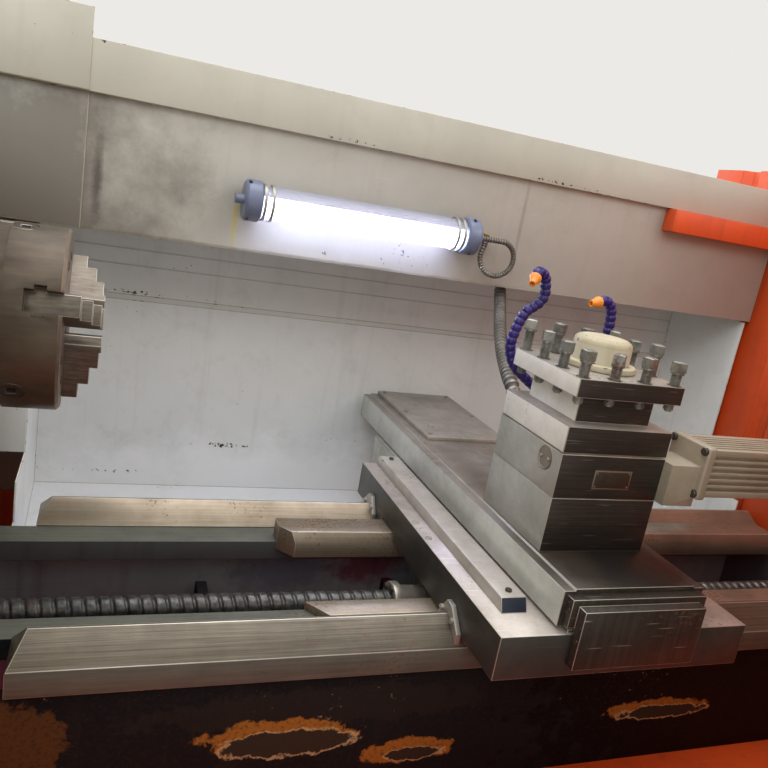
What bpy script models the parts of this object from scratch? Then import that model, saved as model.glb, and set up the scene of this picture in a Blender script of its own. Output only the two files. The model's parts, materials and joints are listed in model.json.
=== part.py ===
"""A flat-bed turning lathe under numerical control, with its work area open at the front.

X runs along the spindle towards the free end of the bed, Y to the back and Z up.
The origin lies on the floor, under the middle of the machine. All sizes are in metres.
"""

import math

import bmesh
import bpy
from mathutils import Matrix, Vector

# Fits
FIT = 0.0003
OVERRUN = 0.004
EDGE = 0.0015

# Overall
HALF_LENGTH = 1.345
FRONT_FACE_Y = -0.600
BACK_FACE_Y = 0.7184
SHEET = 0.003

# Stands and chip tray
STAND_HEIGHT = 0.496
STAND_FOOT_HEIGHT = 0.060
STAND_FOOT_LENGTH = 0.110
STAND_POCKET_DEPTH = 0.006
STAND_POCKET_MARGIN = 0.070
STAND_WALL = 0.014
LEFT_STAND_X = (-1.290, -0.520)
RIGHT_STAND_X = (0.640, 1.260)
STAND_Y = (-0.560, 0.560)
TRAY_OVERHANG = 0.010
TRAY_BACK_Y = 0.655
TRAY_RIM_HEIGHT = 0.104

# Bed
BED_X = (-1.000, 1.270)
BED_HEIGHT = 0.2250
BED_WALL_OUTER_Y = 0.220
BED_WALL = 0.030
BED_FOOT_WIDTH = 0.070
BED_FOOT_HEIGHT = 0.030
BED_LEDGE_RISE = 0.0314
BED_LEDGE_FRONT_Y = 0.115
BED_LEDGE_REAR_Y = 0.107
BED_FLANGE_DEPTH = 0.035
BED_FLANGE_SLOPE = 0.040
RIB_THICKNESS = 0.020
RIB_HEIGHT = 0.130
RIB_COUNT = 5
SCREW_WALL = 0.025

# Ways
WAY_X = (-0.334, 1.295)
WAY_RIDGE_Y = 0.197
WAY_HEIGHT = 0.0700
WAY_CREST = 0.002
WAY_OUTER_RUN = 0.044
WAY_OUTER_DROP = 0.033
WAY_INNER_RUN = 0.035
WAY_INNER_DROP = 0.037
WAY_END_BEVEL = 0.020
TAIL_WAY_X = (0.068, 1.240)
TAIL_WAY_POINT = 0.030
FRONT_TAIL_WAY_RISE = 0.0137
FRONT_TAIL_WAY_WIDTH = 0.040
REAR_TAIL_WAY_RISE = 0.0330
REAR_TAIL_WAY_Y = (0.071, 0.135)
REAR_TAIL_WAY_HOOK = 0.013
REAR_TAIL_WAY_SLOPE = (0.009, 0.021)

# Headstock and spindle
CENTRE_HEIGHT = 0.355
HEADSTOCK_X = (-1.000, -0.440)
HEADSTOCK_HEIGHT = 0.660
HEADSTOCK_BASE_HALF_WIDTH = 0.235
HEADSTOCK_SIDE_SHARES = ((1.0, 0.0), (1.0, 0.18), (0.92, 0.34), (0.81, 0.44), (0.81, 0.90), (0.66, 1.0))
HEADSTOCK_ARCH_HEIGHT = 0.050
HEADSTOCK_ARCH_HALF_WIDTH = 0.100
HEADSTOCK_BEVEL = 0.008
HEADSTOCK_WALL = 0.030
HEADSTOCK_INSIDE_HALF_WIDTH = 0.150
NOSE_CAP_RADIUS = 0.110
NOSE_CAP_LENGTH = 0.015
SPINDLE_RADIUS = 0.055
SPINDLE_BORE_RADIUS = 0.026
SPINDLE_RUNNING_GAP = 0.0009
SPINDLE_FLANGE_RADIUS = 0.085
SPINDLE_FLANGE_LENGTH = 0.022
SPINDLE_TAIL_LENGTH = 0.250
SPINDLE_PULLEY_RADIUS = 0.085
SPINDLE_PULLEY_LENGTH = 0.075
SPINDLE_PULLEY_GROOVES = 3
SPINDLE_PULLEY_GROOVE_DEPTH = 0.008
ROUND_SIDES = 40
SMALL_SIDES = 16

# Chuck
CHUCK_RADIUS = 0.125
CHUCK_LENGTH = 0.100
CHUCK_BORE_RADIUS = 0.034
CHUCK_BEVEL = 0.004
CHUCK_STEP_DEPTH = 0.004
CHUCK_STEP_LENGTH = 0.030
CHUCK_SIDES = 60
JAW_COUNT = 3
JAW_ANGLE = math.radians(159)
JAW_WIDTH = 0.028
JAW_LUG_WIDTH = 0.040
JAW_LUG_DEPTHS = (0.020, 0.034)
JAW_DEPTH = 0.045
JAW_SPAN = (0.020, 0.112)
JAW_TIP_WIDTH = 0.008
JAW_STEP_SHARES = ((0.0, 1.0), (0.22, 0.94), (0.48, 0.71), (0.76, 0.42))
JAW_PROUD = 0.048
PINION_DEPTH = 0.055
PINION_RADIUS = 0.016
PINION_LENGTH = 0.030
PINION_RUNNING_GAP = 0.0005
KEY_SQUARE = 0.012
KEY_DEPTH = 0.016
PINION_SEAT = 0.001

# Z drive
SCREW_Y = -0.045
SCREW_DROP = 0.034
SCREW_RADIUS = 0.020
SCREW_JOURNAL_RADIUS = 0.012
SCREW_JOURNAL_GAP = 0.0008
SCREW_SIDES = 24
Z_NUT_X = (0.240, 0.360)
Z_NUT_FLANGE = 0.014
Z_NUT_FLANGE_RADIUS = 0.034
Z_NUT_RADIUS = 0.027
Z_NUT_GAP = 0.0012
Z_BRACKET_X = (0.300, 0.350)
Z_BRACKET_HALF_WIDTH = 0.040
Z_BRACKET_DROP = 0.036
Z_MOTOR_LENGTH = 0.180
Z_MOTOR_FLANGE = 0.092
Z_MOTOR_FLANGE_LENGTH = 0.014
Z_MOTOR_BODY = 0.080

# Saddle
SADDLE_X = (0.278, 0.714)
SADDLE_Y = (-0.338, 0.292)
SADDLE_BELOW_RIDGE = 0.018
SADDLE_THICKNESS = 0.068
SADDLE_BEVEL = 0.003
TAIL_WAY_CLEARANCE = 0.003
GUIDE_HEIGHT = 0.0050
GUIDE_WIDTH = 0.050
GUIDE_INSET = 0.013
CHANNEL_HALF_WIDTH = 0.046
CHANNEL_FLOOR = 0.023
CHANNEL_FRONT_WALL = 0.038
TRIP_BAR_X = (0.308, 0.350)
TRIP_BAR_Y = (-0.282, 0.290)
TRIP_BAR_HEIGHT = 0.020
TRIP_BAR_BEVEL = 0.006
WIPER_THICKNESS = 0.008
WIPER_BAND = 0.017
WIPER_CLEARANCE = 0.0006
WIPER_OUTER_SHARE = 0.92
WIPER_INNER_SHARE = 0.80

# X drive
X_SCREW_RADIUS = 0.0125
X_SCREW_JOURNAL_RADIUS = 0.009
X_SCREW_ABOVE_FLOOR = 0.0205
X_NUT_Y = (-0.060, 0.000)
X_NUT_HALF_WIDTH = 0.034
X_NUT_GAP = 0.0010
X_NUT_FLOOR_GAP = 0.004
X_MOTOR_Y_LENGTH = 0.198
X_MOTOR_HEIGHT = 0.145
X_MOTOR_BEVEL = 0.006
X_MOTOR_WALL = 0.010

# Cross slide
SLIDE_X = (0.372, 0.620)
SLIDE_Y = (-0.325, 0.610)
SLIDE_THICKNESS = 0.058
SLIDE_LEDGE = 0.018
SLIDE_LEDGE_DROP = 0.003
REAR_PLATE_X = (0.408, 0.604)
REAR_PLATE_START_Y = 0.274
REAR_PLATE_THICKNESS = 0.008
COVER_LAYER_INSETS = (0.006, 0.018)
COVER_LAYER_THICKNESSES = (0.0157, 0.0180)
COVER_LAYER_TOP_DROPS = (0.008, 0.018)
COVER_LAYER_HEIGHTS = (0.043, 0.091)

# Turret
TURRET_X = 0.489
TURRET_Y = -0.121
TURRET_SIDE = 0.192
RISER_HEIGHT = 0.0885
BASE_HEIGHT = 0.0705
HEAD_SEAM = 0.002
SEAM_RING_RADIUS = 0.070
HEAD_PLATE_HEIGHT = 0.0415
HEAD_NECK_HEIGHT = 0.0445
HEAD_NECK_INSET = 0.027
HEAD_TOP_HEIGHT = 0.0290
HEAD_SCREW_OFFSETS = (0.084, 0.028)
HEAD_SCREW_RADIUS = 0.0080
HEAD_SCREW_WAIST = 0.0062
HEAD_SCREW_STANDS = 0.052
# How far each screw stands, by column from -X and row from -Y, as a share of the highest
HEAD_SCREW_STAND_SHARES = (
    (0.80, 0.81, 0.87, 1.00), (0.77, 0.77, 0.98, 0.98), (0.77, 0.77, 0.92, 0.92), (0.73, 1.00, 0.88, 0.94),
)
HEAD_SCREW_TIP = 0.012
HEAD_SCREW_SQUARE = 0.017
HEAD_SCREW_SQUARE_HEIGHT = 0.016
HEAD_SCREW_COLLAR_RADIUS = 0.0105
HEAD_SCREW_COLLAR_HEIGHT = 0.004
HEAD_SCREW_CHAMFER = 0.002
CAP_RING_RADIUS = 0.059
CAP_RING_HEIGHT = 0.010
CAP_RADIUS = 0.0465
CAP_HEIGHT = 0.0395
CAP_ROUND = 0.012
MANIFOLD_X = (0.515, 0.612)
MANIFOLD_Y_LENGTH = 0.088
MANIFOLD_HEIGHT = 0.074

# Turret motor
MOTOR_Y = -0.201
MOTOR_NECK_Z = 0.1225
MOTOR_NECK_HALF_WIDTH = 0.034
MOTOR_NECK_HALF_HEIGHT = 0.034
MOTOR_FLANGE_X = (0.640, 0.657)
MOTOR_AXIS_RISE = 0.147
MOTOR_FLANGE_SIDE = 0.088
MOTOR_BODY_SIDE = 0.080
MOTOR_BODY_END_X = 0.895
MOTOR_FIN_COUNT = 6
MOTOR_FIN_DEPTH = 0.006
MOTOR_FIN_SHARE = 0.5
MOTOR_FIN_MARGIN = 0.008

# Hoses and conduits, whose routes are measured from the turret's centre at the foot of its riser
HOSE_RADIUS = 0.0094
HOSE_WAIST = 0.0076
HOSE_PITCH = 0.016
HOSE_SIDES = 8
NOZZLE_TIP_RADIUS = 0.0045
LEFT_HOSE_START = (0.056, 0.161)
LEFT_HOSE_ROUTE = (
    (0.054, 0.163, 0.122), (0.036, 0.161, 0.162), (0.003, 0.154, 0.190), (-0.022, 0.151, 0.205),
    (-0.059, 0.151, 0.232), (-0.075, 0.151, 0.263), (-0.073, 0.151, 0.291), (-0.068, 0.151, 0.311),
    (-0.058, 0.151, 0.331), (-0.040, 0.151, 0.345), (-0.030, 0.151, 0.361), (-0.032, 0.151, 0.380),
    (-0.040, 0.148, 0.396), (-0.058, 0.140, 0.402), (-0.069, 0.129, 0.391), (-0.079, 0.118, 0.382),
)
RIGHT_HOSE_START = (0.107, 0.161)
RIGHT_HOSE_ROUTE = (
    (0.109, 0.161, 0.122), (0.115, 0.155, 0.212), (0.119, 0.151, 0.310), (0.118, 0.151, 0.331),
    (0.116, 0.151, 0.348), (0.109, 0.150, 0.361), (0.095, 0.148, 0.368), (0.077, 0.143, 0.364),
    (0.058, 0.137, 0.361),
)
CONDUIT_RADIUS = 0.0138
CONDUIT_SIDES_RESOLUTION = 3
CONDUIT_SPACING = 0.022
CONDUIT_GLAND_RADIUS = 0.0170
CONDUIT_GLAND_LENGTH = 0.014
CONDUIT_GLAND_OFFSET = -0.005
CONDUIT_GLAND_RISE = 0.034
CONDUIT_TOP = (0.5905, 0.431)
CONDUIT_ROUTE = (
    (-0.005, 0.133, 0.1228), (-0.010, 0.161, 0.130), (-0.017, 0.185, 0.154), (-0.022, 0.203, 0.180),
    (-0.014, 0.241, 0.193), (0.012, 0.321, 0.216), (0.037, 0.391, 0.244), (0.066, 0.461, 0.275),
    (0.089, 0.516, 0.301), (0.100, 0.546, 0.325), (0.1015, 0.552, 0.354),
)
LAMP_CONDUIT_RADIUS = 0.006
LAMP_CONDUIT_LOOP = 0.0375
LAMP_CONDUIT_LEAD = 0.049
LAMP_CONDUIT_SPACING = 0.014
LAMP_CONDUIT_TURN = math.radians(300)
LAMP_CONDUIT_STANDOFF = 0.022

# Trolley that carries the conduit along the guard
RAIL_X = (-0.020, 1.050)
RAIL_STEM = 0.008
RAIL_FOOT = 0.024
RAIL_FOOT_THICKNESS = 0.006
RAIL_DROP = 0.030
TROLLEY_LENGTH = 0.050
TROLLEY_WALL = 0.010
TROLLEY_FLOOR = 0.022
TROLLEY_LIP = 0.007

# Guards, whose levels are measured up from the top of the stands, as are the front's, the box's and the lamp's
GUARD_FACE_Y = 0.381
GUARD_X = (-0.500, 1.300)
GUARD_PANEL_RISE = (0.744, 0.982)
GUARD_LIP = 0.018
GUARD_RAIL_TOP_RISE = 1.067
GUARD_RAIL_PROUD = 0.015
GUARD_LEFT_END_X = -0.308
GUARD_LEFT_TOP_RISE = 1.114
GUARD_LEFT_PROUD = 0.004
GUARD_SKIN_BOTTOM_RISE = 0.064
PAN_CEILING_RISE = 0.864
PAN_BACK_Y = 0.651
PAN_LEDGE_LEVEL_RISE = 0.586
PAN_LEDGE = 0.010
PAN_BACK_BOTTOM_RISE = 0.131
PAN_SLOPE_BOTTOM_RISE = 0.064
PAN_APRON_BOTTOM_RISE = 0.024
PAN_X = (-0.378, 1.290)
PAN_POST_WIDTH = 0.060
PAN_POST_RISE = (0.304, 0.740)
END_WALL_X = 1.305
END_WALL_RIB = 0.020
END_WALL_RIB_WIDTH = 0.060
END_WALL_RIB_COUNT = 5
END_WALL_TOP_RISE = 1.124
END_WALL_Y = (-0.590, 0.640)
ORANGE_BAR_START_X = 0.954
ORANGE_BAR_RISE = (0.929, 0.9797)
ORANGE_BAR_DEPTH = 0.036

# Front
OPENING_X = (-0.420, 0.500)
APRON_RISE = (0.004, 0.304)
LEDGE_REACH = 0.0665
LEDGE_LIP_HEIGHT = 0.025
PANEL_RETURN = 0.010
PANEL_SIDE_RETURN = 0.045
BEAM_RISE = (1.124, 1.204)
BEAM_LIP = 0.018
BEAM_SLOT = 0.012
DOOR_OVERLAP = 0.015
DOOR_THICKNESS = 0.028
DOOR_SIDE_GAP = 0.0030
DOOR_WINDOW_MARGIN_X = 0.190
DOOR_WINDOW_RISE = (0.554, 0.984)
DOOR_WINDOW_ROUND = 0.030
DOOR_REBATE = 0.012
DOOR_PANE = 0.006
DOOR_FRAME = 0.018
DOOR_REBATE_DEPTH = 0.010
DOOR_HANDLE_INSET = 0.075
DOOR_HANDLE_RISE = (0.624, 0.864)
DOOR_HANDLE_REACH = 0.040
DOOR_HANDLE_THICKNESS = 0.014
DOOR_HANDLE_WIDTH = 0.018

# Headstock casing and cabinet
CASING_X = (-1.330, -1.0055)
CASING_Y = (-0.550, 0.398)
CASING_TOP_RISE = 0.954
CASING_HOLE_RADIUS = 0.062
CABINET_X = (-1.300, GUARD_X[0] - FIT)
CABINET_Y = 0.3983
CABINET_TOP_RISE = 1.084
CABINET_BEVEL = 0.004
CABINET_POCKET_MARGIN = 0.040
CABINET_POCKET = 0.004

# Operator box
BOX_X = (0.620, 1.180)
BOX_RISE = (0.554, 1.104)
BOX_DEPTH = 0.062
BOX_DESK_PROUD = 0.034
BOX_DESK_SHARES = (0.05, 0.25, 0.36)
BOX_BEVEL = 0.004
BOX_WALL = 0.010
SCREEN_X = (0.655, 0.925)
SCREEN_RISE = (0.804, 1.064)
SCREEN_POCKET = 0.008
SCREEN_THICKNESS = 0.006
KEYPAD_X = (0.955, 1.150)
KEYPAD_POCKET = 0.003
STOP_X = 1.100
HANDWHEEL_X = 0.940
CONTROL_RISE = 0.090
STOP_CAP_RADIUS = 0.020
STOP_CAP_LENGTH = 0.012
STOP_STEM_RADIUS = 0.0110
STOP_STEM_GAP = 0.0005
STOP_HOLE_DEPTH = 0.020
STOP_TRAVEL = 0.005
STOP_SPARE = 0.0010
HANDWHEEL_RADIUS = 0.038
HANDWHEEL_LENGTH = 0.013
HANDWHEEL_KNOB_RADIUS = 0.007
HANDWHEEL_KNOB_LENGTH = 0.0055
HANDWHEEL_KNOB_SHARE = 0.70

# Work lamp
LAMP_X = (-0.028, 0.4595)
LAMP_Y = 0.341
LAMP_RISE = 0.8435
LAMP_CAP_RADIUS = 0.0385
LAMP_CAP_LENGTH = 0.032
LAMP_CAP_BEVEL = 0.004
LAMP_TUBE_RADIUS = 0.032
LAMP_TUBE_WALL = 0.003
LAMP_GLAND_RADIUS = 0.009
LAMP_GLAND_LENGTH = 0.016
LAMP_PAD_HALF_WIDTH = 0.018

def above_stand(*rises):
    """Heights for sizes that are measured up from the top of the stands."""
    return tuple(STAND_HEIGHT + rise for rise in rises)


# Heights that follow from the sizes above
TRAY_BOTTOM_Z = STAND_HEIGHT + FIT
TRAY_FLOOR_Z = TRAY_BOTTOM_Z + SHEET
BED_BOTTOM_Z = TRAY_FLOOR_Z + FIT
BED_SEAT_Z = BED_BOTTOM_Z + BED_HEIGHT
BED_LEDGE_Z = BED_SEAT_Z + BED_LEDGE_RISE
WAY_BOTTOM_Z = BED_SEAT_Z + FIT
RIDGE_Z = WAY_BOTTOM_Z + WAY_HEIGHT
SPINDLE_Z = RIDGE_Z + CENTRE_HEIGHT
SCREW_Z = BED_LEDGE_Z - SCREW_DROP
SADDLE_BOTTOM_Z = RIDGE_Z - SADDLE_BELOW_RIDGE
SADDLE_TOP_Z = SADDLE_BOTTOM_Z + SADDLE_THICKNESS
SLIDE_BOTTOM_Z = SADDLE_TOP_Z + GUIDE_HEIGHT + FIT
SLIDE_TOP_Z = SLIDE_BOTTOM_Z + SLIDE_THICKNESS
RISER_BOTTOM_Z = SLIDE_TOP_Z + FIT
BASE_BOTTOM_Z = RISER_BOTTOM_Z + RISER_HEIGHT + FIT
BASE_TOP_Z = BASE_BOTTOM_Z + BASE_HEIGHT
HEAD_BOTTOM_Z = BASE_TOP_Z + HEAD_SEAM
HEAD_NECK_Z = HEAD_BOTTOM_Z + HEAD_PLATE_HEIGHT
HEAD_UPPER_Z = HEAD_NECK_Z + HEAD_NECK_HEIGHT
HEAD_TOP_Z = HEAD_UPPER_Z + HEAD_TOP_HEIGHT
X_SCREW_Z = SADDLE_BOTTOM_Z + CHANNEL_FLOOR + X_SCREW_ABOVE_FLOOR
SLIDE_MIDDLE_X = (SLIDE_X[0] + SLIDE_X[1]) / 2
GUARD_PANEL_Z = above_stand(*GUARD_PANEL_RISE)
GUARD_RAIL_TOP_Z = STAND_HEIGHT + GUARD_RAIL_TOP_RISE
GUARD_LEFT_TOP_Z = STAND_HEIGHT + GUARD_LEFT_TOP_RISE
GUARD_SKIN_BOTTOM_Z = STAND_HEIGHT + GUARD_SKIN_BOTTOM_RISE
PAN_CEILING_Z = STAND_HEIGHT + PAN_CEILING_RISE
PAN_LEDGE_Z = STAND_HEIGHT + PAN_LEDGE_LEVEL_RISE
PAN_BACK_BOTTOM_Z = STAND_HEIGHT + PAN_BACK_BOTTOM_RISE
PAN_SLOPE_BOTTOM_Z = STAND_HEIGHT + PAN_SLOPE_BOTTOM_RISE
PAN_APRON_BOTTOM_Z = STAND_HEIGHT + PAN_APRON_BOTTOM_RISE
PAN_POST_Z = above_stand(*PAN_POST_RISE)
END_WALL_TOP_Z = STAND_HEIGHT + END_WALL_TOP_RISE
ORANGE_BAR_Z = above_stand(*ORANGE_BAR_RISE)
APRON_Z = above_stand(*APRON_RISE)
BEAM_Z = above_stand(*BEAM_RISE)
DOOR_WINDOW_Z = above_stand(*DOOR_WINDOW_RISE)
DOOR_HANDLE_Z = above_stand(*DOOR_HANDLE_RISE)
CASING_TOP_Z = STAND_HEIGHT + CASING_TOP_RISE
CABINET_TOP_Z = STAND_HEIGHT + CABINET_TOP_RISE
BOX_Z = above_stand(*BOX_RISE)
SCREEN_Z = above_stand(*SCREEN_RISE)
LAMP_Z = STAND_HEIGHT + LAMP_RISE
LEDGE_TOP_Z = APRON_Z[1] + SHEET / 2

# Finishes: colour as seen, roughness and metallic share
FINISHES = {
    "cream_enamel": ("d6d0bd", 0.45, 0.0),
    "orange_enamel": ("d4521a", 0.45, 0.0),
    "black_enamel": ("1d1c1c", 0.50, 0.0),
    "ground_steel": ("a49d92", 0.35, 1.0),
    "oiled_steel": ("7d6f60", 0.40, 1.0),
    "dark_steel": ("4a4641", 0.45, 1.0),
    "cast_aluminium": ("c9c3b4", 0.50, 0.4),
    "galvanised_steel": ("8f8d88", 0.40, 1.0),
    "indigo_acetal": ("2c1f7a", 0.35, 0.0),
    "clear_tube": ("dfe6f2", 0.10, 0.0),
    "smoked_glass": ("20262b", 0.10, 0.0),
    "clear_polycarbonate": ("b9c6c4", 0.08, 0.0),
    "grey_plastic": ("3c3d40", 0.50, 0.0),
    "red_plastic": ("b5161a", 0.40, 0.0),
    "felt": ("8c7f6c", 0.90, 0.0),
}


def linear(channel):
    return channel / 12.92 if channel <= 0.04045 else ((channel + 0.055) / 1.055) ** 2.4


def finish(name):
    """The material of that name, made once."""
    if name in bpy.data.materials:
        return bpy.data.materials[name]
    colour, roughness, metallic = FINISHES[name]
    material = bpy.data.materials.new(name)
    material.use_nodes = True
    shader = material.node_tree.nodes["Principled BSDF"]
    channels = [linear(int(colour[i : i + 2], 16) / 255) for i in (0, 2, 4)]
    shader.inputs["Base Color"].default_value = (*channels, 1.0)
    shader.inputs["Roughness"].default_value = roughness
    shader.inputs["Metallic"].default_value = metallic
    return material


def piece(name, mesh, material, origin=(0, 0, 0), smooth_angle=0):
    """An object for a bmesh drawn in the machine's frame, with its own origin at the given point."""
    bmesh.ops.recalc_face_normals(mesh, faces=mesh.faces)
    bmesh.ops.translate(mesh, verts=mesh.verts, vec=-Vector(origin))
    data = bpy.data.meshes.new(name)
    mesh.to_mesh(data)
    mesh.free()
    if smooth_angle:
        data.shade_smooth()
        data.set_sharp_from_angle(angle=smooth_angle)
    data.materials.append(finish(material))
    obj = bpy.data.objects.new(name, data)
    obj.location = origin
    bpy.context.collection.objects.link(obj)
    return obj


ROUND = math.radians(35)
AXES = {"X": (1, 2, 0), "Y": (0, 2, 1), "Z": (0, 1, 2)}


def at(axis, across, up, along):
    """The point with these two coordinates in the plane across the axis, and this one along it."""
    point = [0.0, 0.0, 0.0]
    for slot, value in zip(AXES[axis], (across, up, along)):
        point[slot] = value
    return point


def block(x, y, z):
    """A box between the two values on each axis."""
    mesh = bmesh.new()
    corners = [[mesh.verts.new((i, j, k)) for k in z] for i in x for j in y]
    a, b, c, d = corners
    for face in (
        (a[0], b[0], d[0], c[0]), (a[1], c[1], d[1], b[1]), (a[0], c[0], c[1], a[1]),
        (b[0], b[1], d[1], d[0]), (a[0], a[1], b[1], b[0]), (c[0], d[0], d[1], c[1]),
    ):
        mesh.faces.new(face)
    return mesh


def prism(axis, outline, along):
    """The outline, drawn in the plane across the axis, carried from one end to the other."""
    mesh = bmesh.new()
    ends = [[mesh.verts.new(at(axis, a, b, end)) for a, b in outline] for end in along]
    mesh.faces.new(ends[0])
    mesh.faces.new(ends[1])
    for i in range(len(outline)):
        j = (i + 1) % len(outline)
        mesh.faces.new((ends[0][i], ends[0][j], ends[1][j], ends[1][i]))
    return mesh


def ring_of(mesh, axis, centre, along, radius, sides, square=False):
    """A ring of points about the axis, or one point where the radius is nothing."""
    if radius == 0:
        return [mesh.verts.new(at(axis, centre[0], centre[1], along))]
    points = []
    for i in range(sides):
        turn = 2 * math.pi * i / sides
        reach = radius / max(abs(math.cos(turn)), abs(math.sin(turn))) if square else radius
        across, up = centre[0] + reach * math.cos(turn), centre[1] + reach * math.sin(turn)
        points.append(mesh.verts.new(at(axis, across, up, along)))
    return points


def bridge(mesh, first, second):
    """Faces between two rings, either of which may be a single point."""
    count = max(len(first), len(second))
    for i in range(count):
        j = (i + 1) % count
        if len(first) == 1:
            mesh.faces.new((first[0], second[i], second[j]))
        elif len(second) == 1:
            mesh.faces.new((first[i], second[0], first[j]))
        else:
            mesh.faces.new((first[i], second[i], second[j], first[j]))


def turned(axis, centre, profile, sides, through=False, mesh=None):
    """A turned piece: the profile lists (along, radius), with an optional mark for a square section.

    A solid one is closed by flat ends, and one with a hole through it by its own profile.
    """
    mesh = mesh or bmesh.new()
    rings = [
        ring_of(mesh, axis, centre, row[0], row[1], sides, square=len(row) > 2) for row in profile
    ]
    for first, second in zip(rings, rings[1:]):
        bridge(mesh, first, second)
    if through:
        bridge(mesh, rings[-1], rings[0])
    else:
        for end in (rings[0], rings[-1]):
            if len(end) > 1:
                mesh.faces.new(end)
    return mesh


def folded(points, thickness):
    """The outline of a folded sheet whose middle line runs through the points."""
    line = [Vector(point) for point in points]
    sides = ([], [])
    for i, point in enumerate(line):
        before = (point - line[i - 1]).normalized() if i else None
        after = (line[i + 1] - point).normalized() if i + 1 < len(line) else None
        before, after = before or after, after or before
        normal = Vector((-before.y, before.x)) + Vector((-after.y, after.x))
        normal.normalize()
        reach = thickness / 2 / normal.dot(Vector((-before.y, before.x)))
        sides[0].append(tuple(point + normal * reach))
        sides[1].append(tuple(point - normal * reach))
    return sides[0] + sides[1][::-1]


def open_box(x, y, z, wall, open_side):
    """A thin box that is open on one side, named by its axis and sign, such as +Z."""
    outer = [list(x), list(y), list(z)]
    inner = [[low + wall, high - wall] for low, high in outer]
    axis = "XYZ".index(open_side[1])
    end = 1 if open_side[0] == "+" else 0
    inner[axis][end] = outer[axis][end]
    mesh = bmesh.new()
    shells = []
    for shell in (outer, inner):
        shells.append({
            (i, j, k): mesh.verts.new((shell[0][i], shell[1][j], shell[2][k]))
            for i in (0, 1) for j in (0, 1) for k in (0, 1)
        })
    for shell in shells:
        for side in range(3):
            for value in (0, 1):
                if (side, value) == (axis, end):
                    continue
                mesh.faces.new([shell[key] for key in side_keys(side, value)])
    rim = side_keys(axis, end)
    for key, after in zip(rim, rim[1:] + rim[:1]):
        mesh.faces.new((shells[0][key], shells[0][after], shells[1][after], shells[1][key]))
    return mesh


def side_keys(side, value):
    """The four corners of one side of a box, in order round it."""
    keys = []
    for a, b in ((0, 0), (1, 0), (1, 1), (0, 1)):
        key = [a, b]
        key.insert(side, value)
        keys.append(tuple(key))
    return keys


def bevel(obj, width, segments=1):
    """A bevel on the sharp edges of the piece."""
    modifier = obj.modifiers.new("edges", "BEVEL")
    modifier.width = width
    modifier.segments = segments
    modifier.limit_method = "ANGLE"
    modifier.angle_limit = math.radians(40)
    return obj


def combine(obj, mesh, operation, suffix):
    """Joins a mesh drawn in the machine's frame to the piece, or cuts it away."""
    helper = piece(f"{obj.name}_{suffix}", mesh, "dark_steel")
    helper.hide_render = True
    helper.display_type = "WIRE"
    modifier = obj.modifiers.new(suffix, "BOOLEAN")
    modifier.operation = operation
    modifier.object = helper
    return obj


def cut(obj, mesh, suffix):
    return combine(obj, mesh, "DIFFERENCE", suffix)


def add(obj, mesh, suffix):
    return combine(obj, mesh, "UNION", suffix)


def joint(name, location):
    """An empty that lies on the axis of a joint."""
    empty = bpy.data.objects.new(name, None)
    empty.location = location
    bpy.context.collection.objects.link(empty)
    return empty


def carry(parent, *objects):
    """Hangs the objects on a joint's empty and leaves them where they are."""
    for obj in objects:
        obj.parent = parent
        obj.matrix_parent_inverse = Matrix.Translation(-parent.location)


def smooth_route(points, spacing):
    """Points about one spacing apart on a smooth curve through the given ones."""
    route = [Vector(point) for point in points]
    ends = [2 * route[0] - route[1]] + route + [2 * route[-1] - route[-2]]
    found = []
    for i in range(len(route) - 1):
        a, b, c, d = ends[i : i + 4]
        steps = max(1, round((c - b).length / spacing))
        for step in range(steps):
            t = step / steps
            found.append(0.5 * (2 * b + (c - a) * t + (2 * a - 5 * b + 4 * c - d) * t**2
                                + (3 * b - a - 3 * c + d) * t**3))
    return found + [route[-1]]


def tube(name, points, radius, material):
    """A round tube along the points, closed at both ends."""
    curve = bpy.data.curves.new(name, "CURVE")
    curve.dimensions = "3D"
    curve.bevel_depth = radius
    curve.bevel_resolution = CONDUIT_SIDES_RESOLUTION
    curve.use_fill_caps = True
    spline = curve.splines.new("POLY")
    spline.points.add(len(points) - 1)
    for slot, point in zip(spline.points, points):
        slot.co = (*point, 1.0)
    curve.materials.append(finish(material))
    obj = bpy.data.objects.new(name, curve)
    bpy.context.collection.objects.link(obj)
    return obj


def swept(points, radii, sides):
    """A closed round sweep whose radius changes from point to point."""
    mesh = bmesh.new()
    across = Vector((0, 1, 0))
    rings = []
    for i, point in enumerate(points):
        before, after = points[max(i - 1, 0)], points[min(i + 1, len(points) - 1)]
        along = (after - before).normalized()
        across = (across - along * across.dot(along)).normalized()
        up = along.cross(across)
        ring = []
        for side in range(sides):
            turn = 2 * math.pi * side / sides
            offset = across * math.cos(turn) + up * math.sin(turn)
            ring.append(mesh.verts.new(point + offset * radii[i]))
        rings.append(ring)
    for first, second in zip(rings, rings[1:]):
        bridge(mesh, first, second)
    mesh.faces.new(rings[0])
    mesh.faces.new(rings[-1])
    return mesh


def shrink(span, by):
    return (span[0] + by, span[1] - by)


def middle(span):
    return (span[0] + span[1]) / 2


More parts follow.
